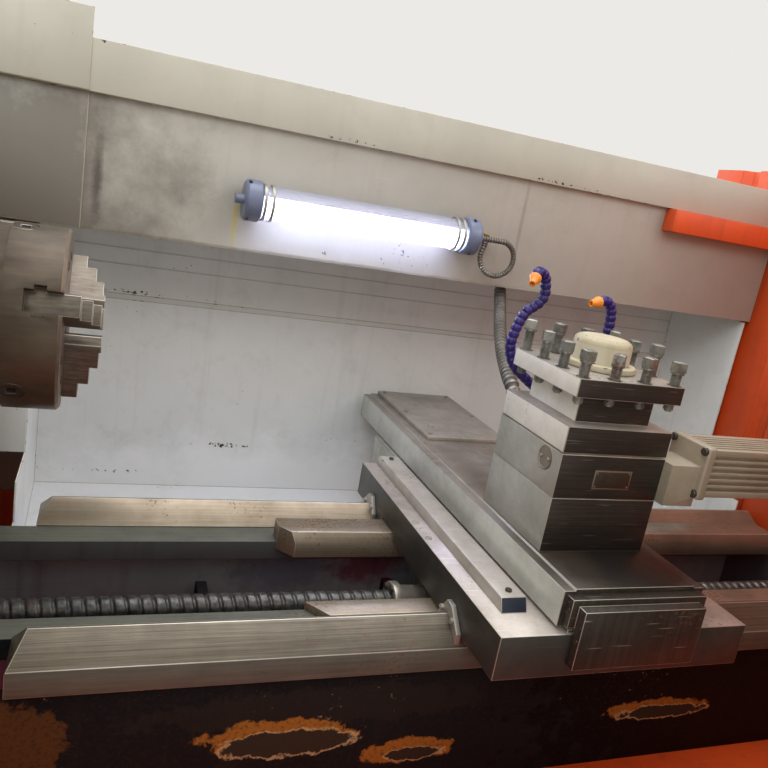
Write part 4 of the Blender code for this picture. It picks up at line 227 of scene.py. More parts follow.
# Two-pack enamel sprayed on sheet steel: smooth, a little orange peel, dirt in soft clouds,
# a few scuffs, and chips down to dark primer that gather where tools and chips hit it.
def paintedSheet(
    name, base, shade, cloud=1.6, grime="7c7361", dirt=0.3, runs=0.22, scuff=0.22, scuffColour="e9e6dd",
    ragged=26.0, soft=0.6, stains=(), specks=0.0, chipScale=120.0, chipRows=(), chipLimit=1.03, chip="332a26",
    gloss=0.36, sheen=0.5,
):
    f = Finish(name)
    place = f.place()
    clouds = f.noise(place, cloud, 6.0, 0.6)
    colour = f.tint(f.remap(clouds, 0.36, 0.68), base, shade)
    colour = f.tint(f.remap(f.noise(place, 14.0, 9.0, 0.74), 0.52, 0.78, dirt), colour, grime)
    # runs of coolant dried on the sheet, 20 mm wide and long in Z
    streaks = f.noise(f.stretch(place, (38.0, 38.0, 2.2)), 1.0, 4.0)
    colour = f.tint(f.remap(streaks, 0.58, 0.74, runs), colour, grime)
    # scuffs about 1 mm wide and 60 mm long
    scuffs = f.noise(f.stretch(place, (9.0, 170.0, 170.0), (0.5, 0.35, 0.9)), 1.0, 1.0)
    colour = f.tint(f.remap(scuffs, 0.72, 0.76, scuff), colour, scuffColour)
    # stains, and painted light and shade, each at its own place: centre, reach in metres, colour, strength
    edge = f.noise(place, ragged, 7.0, 0.68)
    for centre, reach, patchColour, strength in stains:
        near = f.scaled(edge, 1.5, f.away(place, centre, reach))
        colour = f.tint(f.remap(near, 1.72, 1.72 - soft, strength), colour, patchColour)
    # specks of swarf and dirt 3 mm across
    colour = f.tint(f.remap(f.noise(place, 150.0, 5.0, 0.7), 0.50, 0.66, specks), colour, "2a231c")
    # chips 1 to 6 mm across, more of them along the named rows
    chips = f.noise(place, chipScale, 6.0, 0.6)
    chips = f.scaled(f.noise(place, 5.0, 3.0), 0.55, chips)
    for centre, reach, amount in chipRows:
        chips = f.plus(chips, f.remap(f.away(place, centre, reach), 1.0, 0.3, amount))
    chips = f.remap(chips, chipLimit, chipLimit + 0.012)
    colour = f.tint(chips, colour, chip)
    rough = f.remap(clouds, 0.3, 0.7, gloss + 0.2, gloss)
    # orange peel 4 mm across, and the chips sunk into it
    f.wire(f.scaled(chips, -1.6, f.noise(place, 260.0, 2.0)), 0.10, Base_Color=colour, Roughness=rough)
    return f.fix(IOR=1.5, Specular_IOR_Level=sheen)


wipes = ((0.5, (7.0, 190.0, 190.0)), (2.0, (11.0, 230.0, 230.0)))  # turn, stretch


# Carbon steel ground or milled bare: fine lines along the cut, brown oil film in clouds,
# freckles of rust, and brighter rubbed patches.
def bareSteel(
    name, base, film, lay, rough, rustLimit, cloud=6.0, lineTone=0.16, bright="cfc8bc", scratch=0.0,
    scratchColour="dcd5c8", films=(), rustRows=(), metal=0.62, bump=0.12,
):
    f = Finish(name)
    place = f.place()
    clouds = f.noise(place, cloud, 8.0, 0.68)
    colour = f.tint(f.remap(clouds, 0.38, 0.64), base, film)
    # tool lines, drawn 2 mm apart so that they show
    lines = f.noise(f.stretch(place, lay), 1.0, 5.0, 0.7)
    colour = f.tint(f.remap(lines, 0.38, 0.72, lineTone), colour, bright)
    for turn, stretch in wipes if scratch else ():
        mark = f.noise(f.stretch(place, stretch, (0.2, 0.1, turn)), 1.0, 1.0)
        colour = f.tint(f.remap(mark, 0.70, 0.75, scratch), colour, scratchColour)
    # oil films and painted shade, each at its own place: centre, reach in metres, colour, strength
    for centre, reach, patchColour, strength in films:
        near = f.scaled(clouds, 0.8, f.away(place, centre, reach))
        colour = f.tint(f.remap(near, 1.45, 0.75, strength), colour, patchColour)
    rust = f.scaled(f.noise(place, 6.5, 4.0), 0.9, f.noise(place, 170.0, 6.0, 0.6))
    for centre, reach, amount in rustRows:
        rust = f.plus(rust, f.remap(f.away(place, centre, reach), 1.0, 0.2, amount))
    rust = f.remap(rust, rustLimit, rustLimit + 0.10, 0.8)
    colour = f.tint(rust, colour, "6a4128")
    matt = f.scaled(rust, 0.4, f.remap(clouds, 0.3, 0.7, rough + 0.22, rough))
    bare = f.remap(rust, 0.0, 1.0, 0.2, metal)
    f.wire(f.scaled(rust, 0.8, lines), bump, Base_Color=colour, Roughness=matt, Metallic=bare)
    return f.material


# Moulded or cast things with a fine grain and a little dust.
def mouldedStuff(name, base, shade, rough, dust=0.5, cloud=16.0, grain=700.0, bump=0.12, metal=0.0):
    f = Finish(name)
    place = f.place()
    clouds = f.noise(place, cloud, 6.0, 0.6)
    colour = f.tint(f.remap(clouds, 0.42, 0.70, dust), base, shade)
    matt = f.remap(clouds, 0.3, 0.7, rough + 0.15, rough)
    f.wire(f.noise(place, grain, 2.0), bump, 0.0004, Base_Color=colour, Roughness=matt)
    return f.fix(Metallic=metal, IOR=1.5)


# Clear plastic or glass with a greasy haze, in which its gloss comes and goes.
def clearStuff(name, colour, rough, alpha):
    f = Finish(name)
    haze = f.remap(f.noise(f.place(), 9.0, 6.0, 0.7), 0.45, 0.75, rough + 0.25, rough)
    f.tree.links.new(haze, f.shader.inputs["Roughness"])
    return f.fix(Base_Color=linearColour(colour), IOR=1.5, Alpha=alpha)


# ways that a cutter or a wheel left its lines
lengthwise, crosswise, upright = (5.0, 420.0, 420.0), (330.0, 6.0, 330.0), (340.0, 340.0, 7.0)
flankwise, allWays = (9.0, 260.0, 260.0), (90.0, 90.0, 90.0)
finer, coarser = (120.0, 120.0, 120.0), (60.0, 60.0, 60.0)

# name, base, film, lay, roughness, rust limit, and what else differs
steels = (
    ("wayGround", "a0927e", "80705c", lengthwise, 0.26, 1.14, {"lineTone": 0.26}),
    ("wayFlank", "7d7060", "5c4f40", flankwise, 0.34, 1.10, {}),
    # the front way is darker than the rear: painted dark reflection; the rows are rust
    ("wayWorn", "584f40", "41382d", lengthwise, 0.26, 1.12, {"metal": 0.45, "lineTone": 0.16, "rustRows": (
        ((-0.25, -0.197, 0.78), (0.30, 0.04, 0.02), 0.10), ((0.15, -0.197, 0.76), (0.12, 0.04, 0.02), 0.08),
    )}),
    ("wayWornFlank", "575a50", "45473f", flankwise, 0.46, 1.14, {"metal": 0.1, "lineTone": 0.08}),
    ("wayTail", "8f8270", "6f6250", lengthwise, 0.28, 1.04, {}),
    ("slideSteel", "a59d95", "7c7269", crosswise, 0.28, 1.13, {"films": (
        # the first film darkens the front of the top: painted shade and painted dark reflection
        ((0.52, -0.26, 0.908), (0.26, 0.24, 0.06), "1f1a17", 0.97),
        ((0.43, -0.06, 0.908), (0.06, 0.30, 0.03), "5d4f42", 0.6),
    ), "scratch": 0.3, "lineTone": 0.08, "metal": 0.5}),
    # the slide's sides and rear, and the motor cover, are pale: painted light of the work lamp on the slide's
    # left side
    (
        "slideSide", "d2d2ca", "adada5", (330.0, 5.0, 330.0), 0.30, 1.20,
        {"scratch": 0.3, "lineTone": 0.06, "metal": 0.35}
    ),
    ("saddleSteel", "bdb4ac", "938980", crosswise, 0.30, 1.12, {
        "scratch": 0.3, "lineTone": 0.08, "metal": 0.45,
        "rustRows": (((0.290, 0.23, 0.845), (0.05, 0.14, 0.02), 0.10),),
    }),
    ("castingDark", "4c4a46", "363431", coarser, 0.34, 1.16, {
        "scratch": 0.2, "scratchColour": "6a645c", "bright": "55514b", "metal": 0.45,
    }),
    ("coverSteel", "3d3630", "2b2621", (200.0, 200.0, 6.0), 0.30, 1.14, {
        "scratch": 0.3, "bump": 0.05, "lineTone": 0.05, "metal": 0.5,
    }),
    ("barSteel", "cbc4bd", "a69e95", crosswise, 0.26, 1.13, {"scratch": 0.3, "lineTone": 0.08, "metal": 0.45}),
    # the turret's sides are pale: painted light of the work lamp on its left side
    ("turretSteel", "b7b6ae", "96958d", upright, 0.24, 1.20, {"scratch": 0.3, "lineTone": 0.06, "metal": 0.4}),
    # the front faces are dark brown: painted shade, as they face the dark front of the machine
    ("turretFront", "3b3430", "2a2522", (6.0, 340.0, 340.0), 0.24, 1.20, {
        "scratch": 0.15, "bump": 0.06, "metal": 0.6, "lineTone": 0.05,
    }),
    ("turretTop", "b8b2aa", "918a81", (200.0, 8.0, 300.0), 0.32, 1.12, {
        "scratch": 0.3, "lineTone": 0.08, "metal": 0.45,
    }),
    # the tool head's sides are near white: painted light of the work lamp on its left side
    ("headBright", "f2efe6", "d8d4ca", upright, 0.26, 1.16, {"scratch": 0.3, "metal": 0.2, "lineTone": 0.08}),
    ("edgeSteel", "b9b3a8", "979084", coarser, 0.24, 1.25, {}),
    ("chuckSteel", "8a7a68", "635546", (320.0, 14.0, 14.0), 0.28, 1.12, {"metal": 0.55, "lineTone": 0.14}),
    ("chuckRim", "5f5346", "43392f", (6.0, 60.0, 60.0), 0.28, 1.20, {
        "metal": 0.5, "cloud": 2.6, "lineTone": 0.22, "bright": "8c7c68",
    }),
    ("jawSteel", "6b6156", "4a4239", (30.0, 300.0, 300.0), 0.32, 1.16, {}),
    ("threadSteel", "3a3a3a", "242424", allWays, 0.26, 1.18, {}),
    ("screwSteel", "9a948a", "6f675b", allWays, 0.24, 1.18, {}),
    ("clampSteel", "989891", "595a56", allWays, 0.26, 1.14, {"cloud": 40.0}),
    # blackened screws, rubbed pale at their edges
    ("blackOxide", "4b4540", "35302b", allWays, 0.36, 1.14, {"bright": "6a635a"}),
    ("zincPlate", "b4b1a9", "8b877e", finer, 0.28, 1.20, {}),
    # strip-wound conduit: shiny windings, and painted shade in the grooves
    ("windingSteel", "8f8a83", "6c6761", finer, 0.24, 1.22, {"cloud": 30.0}),
    ("windingGroove", "68635d", "4a4642", finer, 0.5, 1.22, {"cloud": 30.0}),
)

# name, base, shade, roughness, and what else differs
mouldings = (
    ("castAluminium", "a89d8b", "827662", 0.42, {"metal": 0.30, "grain": 420.0, "bump": 0.2}),
    ("acetalIndigo", "291a6c", "180f46", 0.24, {"dust": 0.6}),
    ("acetalOrange", "ef9230", "cf7020", 0.30, {"dust": 0.4}),
    ("blackNylon", "232324", "3b3a38", 0.42, {}),
    ("greyNylon", "3c3d40", "55534f", 0.42, {}),
    # the lamp caps' blue-grey is partly their own grey and partly the lamp's painted blue glow
    ("lampNylon", "6f7791", "4c5266", 0.26, {"dust": 0.4}),
    ("redPlastic", "b81a1c", "8c1214", 0.28, {"dust": 0.3}),
    ("greenPlastic", "2c8a48", "1f6a36", 0.28, {"dust": 0.3}),
    ("yellowPlastic", "e2b41c", "b88f14", 0.34, {"dust": 0.3}),
    ("keyPlastic", "c4c2b8", "9a988e", 0.45, {}),
    ("rubberBlack", "1b1b1b", "2e2d2b", 0.62, {}),
    ("brassPlain", "9c8250", "6b5834", 0.30, {"metal": 1.0}),
    # engraved plates with nothing on them: dull field, rubbed rim
    ("blankPlate", "5a5148", "3c352e", 0.34, {"metal": 0.9, "cloud": 60.0}),
    ("plateRim", "a79d90", "7d7366", 0.30, {"metal": 1.0}),
    ("navyEnd", "141c30", "0d1320", 0.35, {"dust": 0.4}),
    ("screenGlass", "14181c", "20262b", 0.08, {"dust": 0.3, "bump": 0.01}),
)


def makeFinishes():
    made = {name: bareSteel(name, *look, **more) for name, *look, more in steels}
    made.update({name: mouldedStuff(name, *look, **more) for name, *look, more in mouldings})

    def paint(name, **look):
        made[name] = paintedSheet(name, **look)

    # guard sheets: off-white enamel, greyed by coolant mist
    guard = {
        "base": "bdbab1", "shade": "a8a49a", "grime": "857c68", "dirt": 0.20, "runs": 0.10, "scuff": 0.06,
        "ragged": 9.0, "chipLimit": 1.06,
    }
    paint("guardEnamel", **guard, stains=(
        ((-0.440, 0.375, 1.340), (0.360, 0.08, 0.340), "6f6a61", 0.88),
        ((-0.034, 0.381, 1.290), (0.006, 0.05, 0.075), "c4b765", 0.75),
        ((-0.284, 0.379, 1.330), (0.014, 0.05, 0.090), "4e4840", 0.85),
        ((0.583, 0.381, 1.370), (0.006, 0.05, 0.130), "8d8678", 0.50),
        ((0.10, 0.381, 1.242), (0.60, 0.05, 0.005), "6b6152", 0.60),
    ), chipRows=(
        ((0.140, 0.381, 1.2600), (0.050, 0.05, 0.010), 0.16), ((0.676, 0.381, 1.285), (0.030, 0.05, 0.030), 0.16),
        ((-0.300, 0.381, 1.262), (0.040, 0.05, 0.016), 0.15),
    ))
    # the rail catches knocks from above, so its paint has chips along the seam
    paint("railEnamel", **{**guard, "base": "bcb9ac", "shade": "a9a698"}, chipRows=(
        ((0.17, 0.366, 1.482), (0.14, 0.05, 0.006), 0.22), ((0.62, 0.366, 1.482), (0.24, 0.05, 0.005), 0.18),
        ((-0.25, 0.366, 1.560), (0.20, 0.05, 0.008), 0.16),
    ))
    # the pan is near white, and whiter still low down: painted light of the work lamp
    paint("panEnamel", **{**guard, "base": "eceeed", "shade": "dcdfde", "chipLimit": 1.05}, stains=(
        ((0.30, 0.60, 0.640), (1.20, 0.50, 0.150), "fbfcfc", 0.90),
    ), chipRows=(
        ((-0.250, 0.646, 0.662), (0.20, 0.08, 0.010), 0.22), ((0.030, 0.646, 0.738), (0.26, 0.08, 0.010), 0.20),
        ((0.320, 0.646, 0.767), (0.20, 0.08, 0.008), 0.18), ((-0.05, 0.646, 0.90), (0.30, 0.08, 0.10), 0.05),
        ((-0.20, 0.646, 1.09), (0.30, 0.08, 0.008), 0.15),
    ))
    paint("lapShade", **{**guard, "base": "8f8d88", "shade": "7d7a74"})
    cream = {"base": "cfcab8", "shade": "bdb7a4", "dirt": 0.18, "runs": 0.14, "scuff": 0.12, "chipLimit": 1.06}
    paint("creamEnamel", **cream)
    # edges of the cream sheets: darker with handling, and chipped far more
    worn = {"base": "cdc6b2", "shade": "a59c86", "dirt": 0.6, "chipLimit": 0.92, "chipScale": 70.0}
    paint("creamEdge", **{**cream, **worn})
    orange = {
        "base": "e2551f", "shade": "cc4719", "grime": "5a2a1a", "dirt": 0.26, "scuffColour": "e08a5c",
        "chipLimit": 1.06,
    }
    paint("orangeEnamel", **orange)
    worn = {"base": "cf4c1c", "shade": "ab3b17", "dirt": 0.5, "chipLimit": 0.97, "chip": "6b5548"}
    paint("orangeEdge", **{**orange, **worn})
    # the bed's black paint lifts off in flakes and leaves ochre filler with a pale rim
    patches = (  # centre, reach of the filler, reach of the paint left inside it
        ((0.030, -0.22, 0.612), (0.120, 0.10, 0.033), (0.100, 0.10, 0.023)),
        ((0.240, -0.22, 0.568), (0.080, 0.10, 0.024), (0.046, 0.10, 0.013)),
        ((0.720, -0.22, 0.600), (0.120, 0.10, 0.022), (0.100, 0.10, 0.014)),
        ((-0.700, -0.22, 0.580), (0.070, 0.10, 0.020), (0.052, 0.10, 0.012)),
    )
    stains = [
        ((-0.330, -0.22, 0.640), (0.085, 0.10, 0.060), "5a3c20", 0.90),
        ((0.10, -0.22, 0.66), (0.30, 0.10, 0.035), "26221e", 0.60),
        # near black over the bed's right end: painted shade
        ((1.05, -0.22, 0.62), (0.62, 0.10, 0.30), "070708", 0.95),
    ]
    for centre, rim, core in patches:
        low = (centre[0] + 0.010, centre[1], centre[2] - rim[2] * 0.32)
        stains += [(centre, rim, "9a6428", 0.95), (low, tuple(r * 1.10 for r in core), "c4a878", 0.92)]
        stains.append((low, core, "1b1a1a", 0.96))
    bed = {
        "base": "0f1417", "shade": "181c1f", "grime": "28241f", "dirt": 0.45, "runs": 0.3, "scuff": 0.14,
        "scuffColour": "4a443d", "gloss": 0.55, "sheen": 0.12, "chip": "6f5c44", "chipLimit": 1.06,
    }
    paint("bedEnamel", **{**bed, "chipLimit": 1.02}, soft=0.10, ragged=30.0, specks=0.75, stains=stains)
    # the trough's up-facing faces on the right are crimson: painted red light, thrown from the orange tray
    paint("bedPrimer", **{**bed, "base": "4c1c28", "shade": "5a2430"})
    # grey ledges and walls in the black bed: painted light in the deep, unlit trough
    paint("bedLedge", **{**bed, "base": "4c4a4c", "shade": "3c3a3c"})
    paint("bedInner", **{**bed, "base": "82868a", "shade": "6c7074"}, stains=(
        # blue and crimson patches on the trough's walls: painted reflections
        ((0.120, 0.19, 0.650), (0.140, 0.05, 0.060), "40465c", 0.55),
        ((0.290, 0.19, 0.660), (0.110, 0.05, 0.060), "5e1c2e", 0.80),
    ))
    # the turret cap's thick enamel, flaked at its shoulder
    paint("capEnamel", base="cfc6ae", shade="b8ad91", dirt=0.35, chipLimit=1.0, chipScale=90.0)
    paint("capChipped", base="c9bea2", shade="a39676", dirt=0.6, chipLimit=0.84, chipScale=140.0, chip="4a4036")
    made["lampGlass"] = clearStuff("lampGlass", "c9d0ee", 0.04, 0.26)
    made["windowPane"] = clearStuff("windowPane", "b9c6c2", 0.06, 0.30)
    # the lit diffuser: blue-white, bright enough to wash out
    glow = linearColour("dfe6ff")
    made["lampGlow"] = Finish("lampGlow").fix(
        Base_Color=glow, Roughness=0.4, Emission_Color=glow, Emission_Strength=22.0
    )
    return made


def addPiece(name, mesh, material, body, replaces=(), smooth=35):
    bmesh.ops.recalc_face_normals(mesh, faces=mesh.faces)
    data = bpy.data.meshes.new(name)
    mesh.to_mesh(data)
    mesh.free()
    data.materials.append(finishes[material])
    if smooth:
        data.shade_smooth()
        data.set_sharp_from_angle(angle=math.radians(smooth))
    obj = bpy.data.objects.new(name, data)
    bpy.context.scene.collection.objects.link(obj)
    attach(obj, body)
    if replaces:
        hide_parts(*replaces)
    return obj


# skins successive rings of corners, with a face over each end or the last joined to the first
def joinRings(mesh, rings, closed=True, around=False):
    for a, b in zip(rings, rings[1:] + (rings[:1] if around else [])):
        for i in range(len(a)):
            j = (i + 1) % len(a)
            mesh.faces.new((a[i], a[j], b[j], b[i]))
    for ring in (rings[0], rings[-1]) if closed else ():
        mesh.faces.new(ring)
    return mesh


# the evaluated mesh becomes the object's own, and its modifiers go
def settle(obj):
    graph = bpy.context.evaluated_depsgraph_get()
    data = bpy.data.meshes.new_from_object(obj.evaluated_get(graph))
    data.name = obj.name
    if obj.type == "MESH":
        obj.modifiers.clear()
        obj.data = data
        return obj
    name = obj.name
    bpy.data.objects.remove(obj)
    plain = bpy.data.objects.new(name, data)
    bpy.context.scene.collection.objects.link(plain)
    return plain


def bevelEdges(obj, width, segments=2, material=-1, angle=30):
    modifier = obj.modifiers.new("edges", "BEVEL")
    modifier.width = width
    modifier.segments = segments
    modifier.limit_method = "ANGLE"
    modifier.angle_limit = math.radians(angle)
    modifier.material = material
    modifier.harden_normals = False
    settle(obj)
    obj.data.shade_smooth()
    obj.data.set_sharp_from_angle(angle=math.radians(38))
    return obj


# a CAD node with broken edges; its worn edges, top, sides or picked faces can have a finish
# of their own, and its name is the node's unless told
def dress(node, material, edge=None, width=0.0008, top=None, side=None, pick=None, name=None):
    first, *rest = node.split("_")
    name = name or first + "".join(word.title() for word in rest)
    source = frame["nodes"][node]
    mesh = bmesh.new()
    mesh.from_mesh(source.data)
    bmesh.ops.remove_doubles(mesh, verts=mesh.verts, dist=2e-5)
    bmesh.ops.dissolve_limit(mesh, angle_limit=math.radians(0.8), verts=mesh.verts, edges=mesh.edges)
    mesh.normal_update()
    data = bpy.data.meshes.new(name)
    extra = [m for m in (edge, top, side) if m]
    for face in mesh.faces:
        if top and face.normal.z > 0.9:
            face.material_index = 1 + extra.index(top)
        elif side and abs(face.normal.z) < 0.3:
            face.material_index = 1 + extra.index(side)
        if pick:
            chosen = pick(face.calc_center_median(), face.normal)
            if chosen:
                if chosen not in extra:
                    extra.append(chosen)
                face.material_index = 1 + extra.index(chosen)
    mesh.to_mesh(data)
    mesh.free()
    for key in [material] + extra:
        data.materials.append(finishes[key])
    obj = bpy.data.objects.new(name, data)
    bpy.context.scene.collection.objects.link(obj)
    if width:
        bevelEdges(obj, width, material=1 + extra.index(edge) if edge else -1)
    else:
        data.shade_smooth()
        data.set_sharp_from_angle(angle=math.radians(35))
    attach(obj, bodyOf[node])
    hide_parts(node)
    return obj


def blockMesh(low, high, mesh=None):
    mesh = mesh or bmesh.new()
    made = bmesh.ops.create_cube(mesh, size=1.0)["verts"]
    for vert in made:
        vert.co = Vector(l + (h - l) * (c + 0.5) for l, h, c in zip(low, high, vert.co))
    return mesh


# a turned form along a direction: profile rows are (distance along, radius)
def turnedMesh(base, direction, profile, sides=24, mesh=None, phase=0.0, hollow=False):
    mesh = mesh or bmesh.new()
    turn = Vector(direction).to_track_quat("Z", "Y").to_matrix()
    rings = []
    for along, radius in profile:
        ring = []
        for i in range(1 if radius < 1e-6 else sides):
            angle = 2 * math.pi * i / sides + phase
            ring.append(
                mesh.verts.new(
                    Vector(base) + turn @ Vector((radius * math.cos(angle), radius * math.sin(angle), along))
                )
            )
        rings.append(ring)
    tip = rings.pop()[0] if len(rings[-1]) == 1 else None
    for i in range(sides if tip else 0):
        mesh.faces.new((rings[-1][i], rings[-1][(i + 1) % sides], tip))
    if tip:
        mesh.faces.new(rings[0])
    return joinRings(mesh, rings, not (hollow or tip), hollow)


def smoothRoute(points, spacing):
    route = [Vector(p) for p in points]
    ends = [2 * route[0] - route[1]] + route + [2 * route[-1] - route[-2]]
    found = []
    for i in range(len(route) - 1):
        a, b, c, d = ends[i : i + 4]
        steps = max(1, round((c - b).length / spacing))
        for step in range(steps):
            t = step / steps
            found.append(
                0.5 * (2 * b + (c - a) * t + (2 * a - 5 * b + 4 * c - d) * t**2 + (3 * b - a - 3 * c + d) * t**3)
            )
    return found + [route[-1]]


def routeCurve(name, points):
    data = bpy.data.curves.new(name, "CURVE")
    data.dimensions = "3D"
    spline = data.splines.new("POLY")
    spline.points.add(len(points) - 1)
    for slot, point in zip(spline.points, points):
        slot.co = (*point, 1.0)
    obj = bpy.data.objects.new(name, data)
    bpy.context.scene.collection.objects.link(obj)
    return obj


def newTree(name, inputs):
    tree = bpy.data.node_groups.new(name, "GeometryNodeTree")
    tree.interface.new_socket("Geometry", in_out="INPUT", socket_type="NodeSocketGeometry")
    for label, kind, value in inputs:
        socket = tree.interface.new_socket(label, in_out="INPUT", socket_type=kind)
        if value is not None:
            socket.default_value = value
    tree.interface.new_socket("Geometry", in_out="OUTPUT", socket_type="NodeSocketGeometry")
    return tree, addNode(tree, "NodeGroupInput").outputs


def runTree(obj, tree, values):
    modifier = obj.modifiers.new(tree.name, "NODES")
    modifier.node_group = tree
    for item in tree.interface.items_tree:
        if item.in_out == "INPUT" and item.name in values:
            modifier[item.identifier] = values[item.name]
    return settle(obj)


def hiddenSeed(name, mesh, material, smooth=35):
    data = bpy.data.meshes.new(name)
    bmesh.ops.recalc_face_normals(mesh, faces=mesh.faces)
    mesh.to_mesh(data)
    mesh.free()
    data.materials.append(finishes[material])
    data.shade_smooth()
    data.set_sharp_from_angle(angle=math.radians(smooth))
    return bpy.data.objects.new(name, data)


# breaks a seed's edges before it is set many times
def bevelSeed(seed, width):
    mesh = bmesh.new()
    mesh.from_mesh(seed.data)
    bmesh.ops.bevel(mesh, geom=mesh.edges[:], offset=width, segments=1, affect="EDGES")
    mesh.to_mesh(seed.data)
    mesh.free()
    seed.data.shade_smooth()
    seed.data.set_sharp_from_angle(angle=math.radians(35))


# links on a path: one link mesh set at even steps and turned along the curve
def linkTree():
    tree, given = newTree("linksOnPath", (
        ("Pitch", "NodeSocketFloat", 0.015), ("Link", "NodeSocketObject", None),
        ("Finish", "NodeSocketMaterial", None),
    ))
    steps = addNode(
        tree, "GeometryNodeCurveToPoints", {"Curve": given["Geometry"], "Length": given["Pitch"]}, mode="LENGTH"
    )
    link = addNode(tree, "GeometryNodeObjectInfo", {"Object": given["Link"]})
    turn = addNode(tree, "FunctionNodeAlignRotationToVector", {"Vector": steps.outputs["Tangent"]}, axis="Z")
    return placeCopies(tree, given, steps.outputs["Points"], link, turn.outputs[0])


# sets an instance at each point, makes the copies real and gives them their finish
def placeCopies(tree, given, points, part, turn):
    inputs = {"Points": points, "Instance": part.outputs["Geometry"], "Rotation": turn}
    copies = addNode(tree, "GeometryNodeInstanceOnPoints", inputs)
    real = addNode(tree, "GeometryNodeRealizeInstances", {"Geometry": copies.outputs[0]})
    return endTree(tree, given, real.outputs[0])


def endTree(tree, given, geometry):
    done = addNode(tree, "GeometryNodeSetMaterial", {"Geometry": geometry, "Material": given["Finish"]})
    addNode(tree, "NodeGroupOutput", {"Geometry": done.outputs[0]})
    return tree


winding = {"sides": 16, "rings": 4.0}  # faces round the tube, and rings to each winding


# strip-wound conduit: two rings in four are sunk, and the windings are wider than the real
# ones (13 mm on the turret's conduit), so that they show
def windingTree():
    tree, given = newTree("woundConduit", (
        ("Pitch", "NodeSocketFloat", 0.0045), ("Radius", "NodeSocketFloat", 0.0125),
        ("Rise", "NodeSocketFloat", 0.0009),
        ("Finish", "NodeSocketMaterial", None),
    ))
    step = mathNode(tree, "DIVIDE", given["Pitch"], winding["rings"])
    fine = addNode(tree, "GeometryNodeResampleCurve", {"Curve": given["Geometry"], "Length": step}, mode="LENGTH")
    index = addNode(tree, "GeometryNodeInputIndex").outputs[0]
    groove = mathNode(tree, "LESS_THAN", mathNode(tree, "MODULO", index, winding["rings"]), 1.5)
    groove = mathNode(tree, "MULTIPLY", groove, -1.0)
    size = mathNode(tree, "MULTIPLY_ADD", groove, given["Rise"], given["Radius"])
    shaped = addNode(tree, "GeometryNodeSetCurveRadius", {"Curve": fine.outputs[0], "Radius": size})
    ring = addNode(tree, "GeometryNodeCurvePrimitiveCircle", {"Resolution": winding["sides"], "Radius": 1.0})
    tube = addNode(
        tree, "GeometryNodeCurveToMesh",
        {"Curve": shaped.outputs[0], "Profile Curve": ring.outputs[0], "Fill Caps": True}
    )
    # a later Blender takes the radius from this input
    if "Scale" in tube.inputs:
        radius = addNode(tree, "GeometryNodeInputRadius").outputs[0]
        tree.links.new(radius, tube.inputs["Scale"])
    return endTree(tree, given, tube.outputs[0])


# one part set at each vertex of a seed mesh, turned to the vertex normal
def scatterTree():
    tree, given = newTree("partsOnPoints", (
        ("Part", "NodeSocketObject", None), ("Finish", "NodeSocketMaterial", None),
        ("Twist", "NodeSocketFloat", 0.0),
    ))
    normal = addNode(
        tree, "GeometryNodeInputNamedAttribute", {"Name": "facing"}, data_type="FLOAT_VECTOR"
    ).outputs[0]
    turn = addNode(tree, "FunctionNodeAlignRotationToVector", {"Vector": normal}, axis="Z").outputs[0]
    index = addNode(tree, "GeometryNodeInputIndex").outputs[0]
    spin = mathNode(tree, "MULTIPLY", index, given["Twist"])
    spin = addNode(tree, "ShaderNodeCombineXYZ", {"Z": spin}).outputs[0]
    spin = addNode(tree, "FunctionNodeEulerToRotation", {0: spin}).outputs[0]
    inputs = {"Rotation": turn, "Rotate By": spin}
    turn = addNode(tree, "FunctionNodeRotateRotation", inputs, rotation_space="LOCAL").outputs[0]
    part = addNode(tree, "GeometryNodeObjectInfo", {"Object": given["Part"]})
    points = addNode(tree, "GeometryNodeMeshToPoints", {"Mesh": given["Geometry"]})
    return placeCopies(tree, given, points.outputs[0], part, turn)


# sets a part at each (place, direction) and turns the lot into one plain piece
def scatter(name, spots, seed, material, body="base", twist=0.0):
    data = bpy.data.meshes.new(name)
    data.from_pydata([tuple(place) for place, _ in spots], [], [])
    facing = data.attributes.new("facing", "FLOAT_VECTOR", "POINT")
    for i, (_, direction) in enumerate(spots):
        facing.data[i].vector = direction
    obj = bpy.data.objects.new(name, data)
    bpy.context.scene.collection.objects.link(obj)
    runTree(obj, trees["scatter"], {"Part": seed, "Finish": finishes[material], "Twist": twist})
    obj.data.materials.clear()
    obj.data.materials.append(finishes[material])
    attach(obj, body)
    return obj


# a bevelled sheet or block of its own
def plateOn(name, low, high, material, body, width=0.0006, edge=None):
    plate = addPiece(name, blockMesh(low, high), material, body)
    if edge:
        plate.data.materials.append(finishes[edge])
    return bevelEdges(plate, width, 2, 1 if edge else -1)


def creamSheet(name, low, high, width):
    plateOn(name, low, high, "creamEnamel", "base", width, "creamEdge")


# evenly spaced places on a line, each with the way that the part there faces
def rowOf(start, end, count, facing):
    a, b = Vector(start), Vector(end)
    return [(a.lerp(b, i / max(1, count - 1)), facing) for i in range(count)]


# every place of a grid, in which each coordinate is a number or a row of them
def gridOf(x, y, z, facing):
    xs, ys, zs = (c if isinstance(c, (tuple, list)) else (c,) for c in (x, y, z))
    return [((px, py, pz), facing) for px in xs for py in ys for pz in zs]


def ringOf(centre, axis, radius, count, phase=0.0):
    turn = Vector(axis).to_track_quat("Z", "Y").to_matrix()
    angles = [2 * math.pi * i / count + phase for i in range(count)]
    return [
        (Vector(centre) + turn @ Vector((radius * math.cos(a), radius * math.sin(a), 0)), axis) for a in angles
    ]


# a turned form that stands up from the origin
def seedMesh(profile, sides=24, mesh=None, hollow=False):
    return turnedMesh((0, 0, 0), (0, 0, 1), profile, sides, mesh, hollow=hollow)


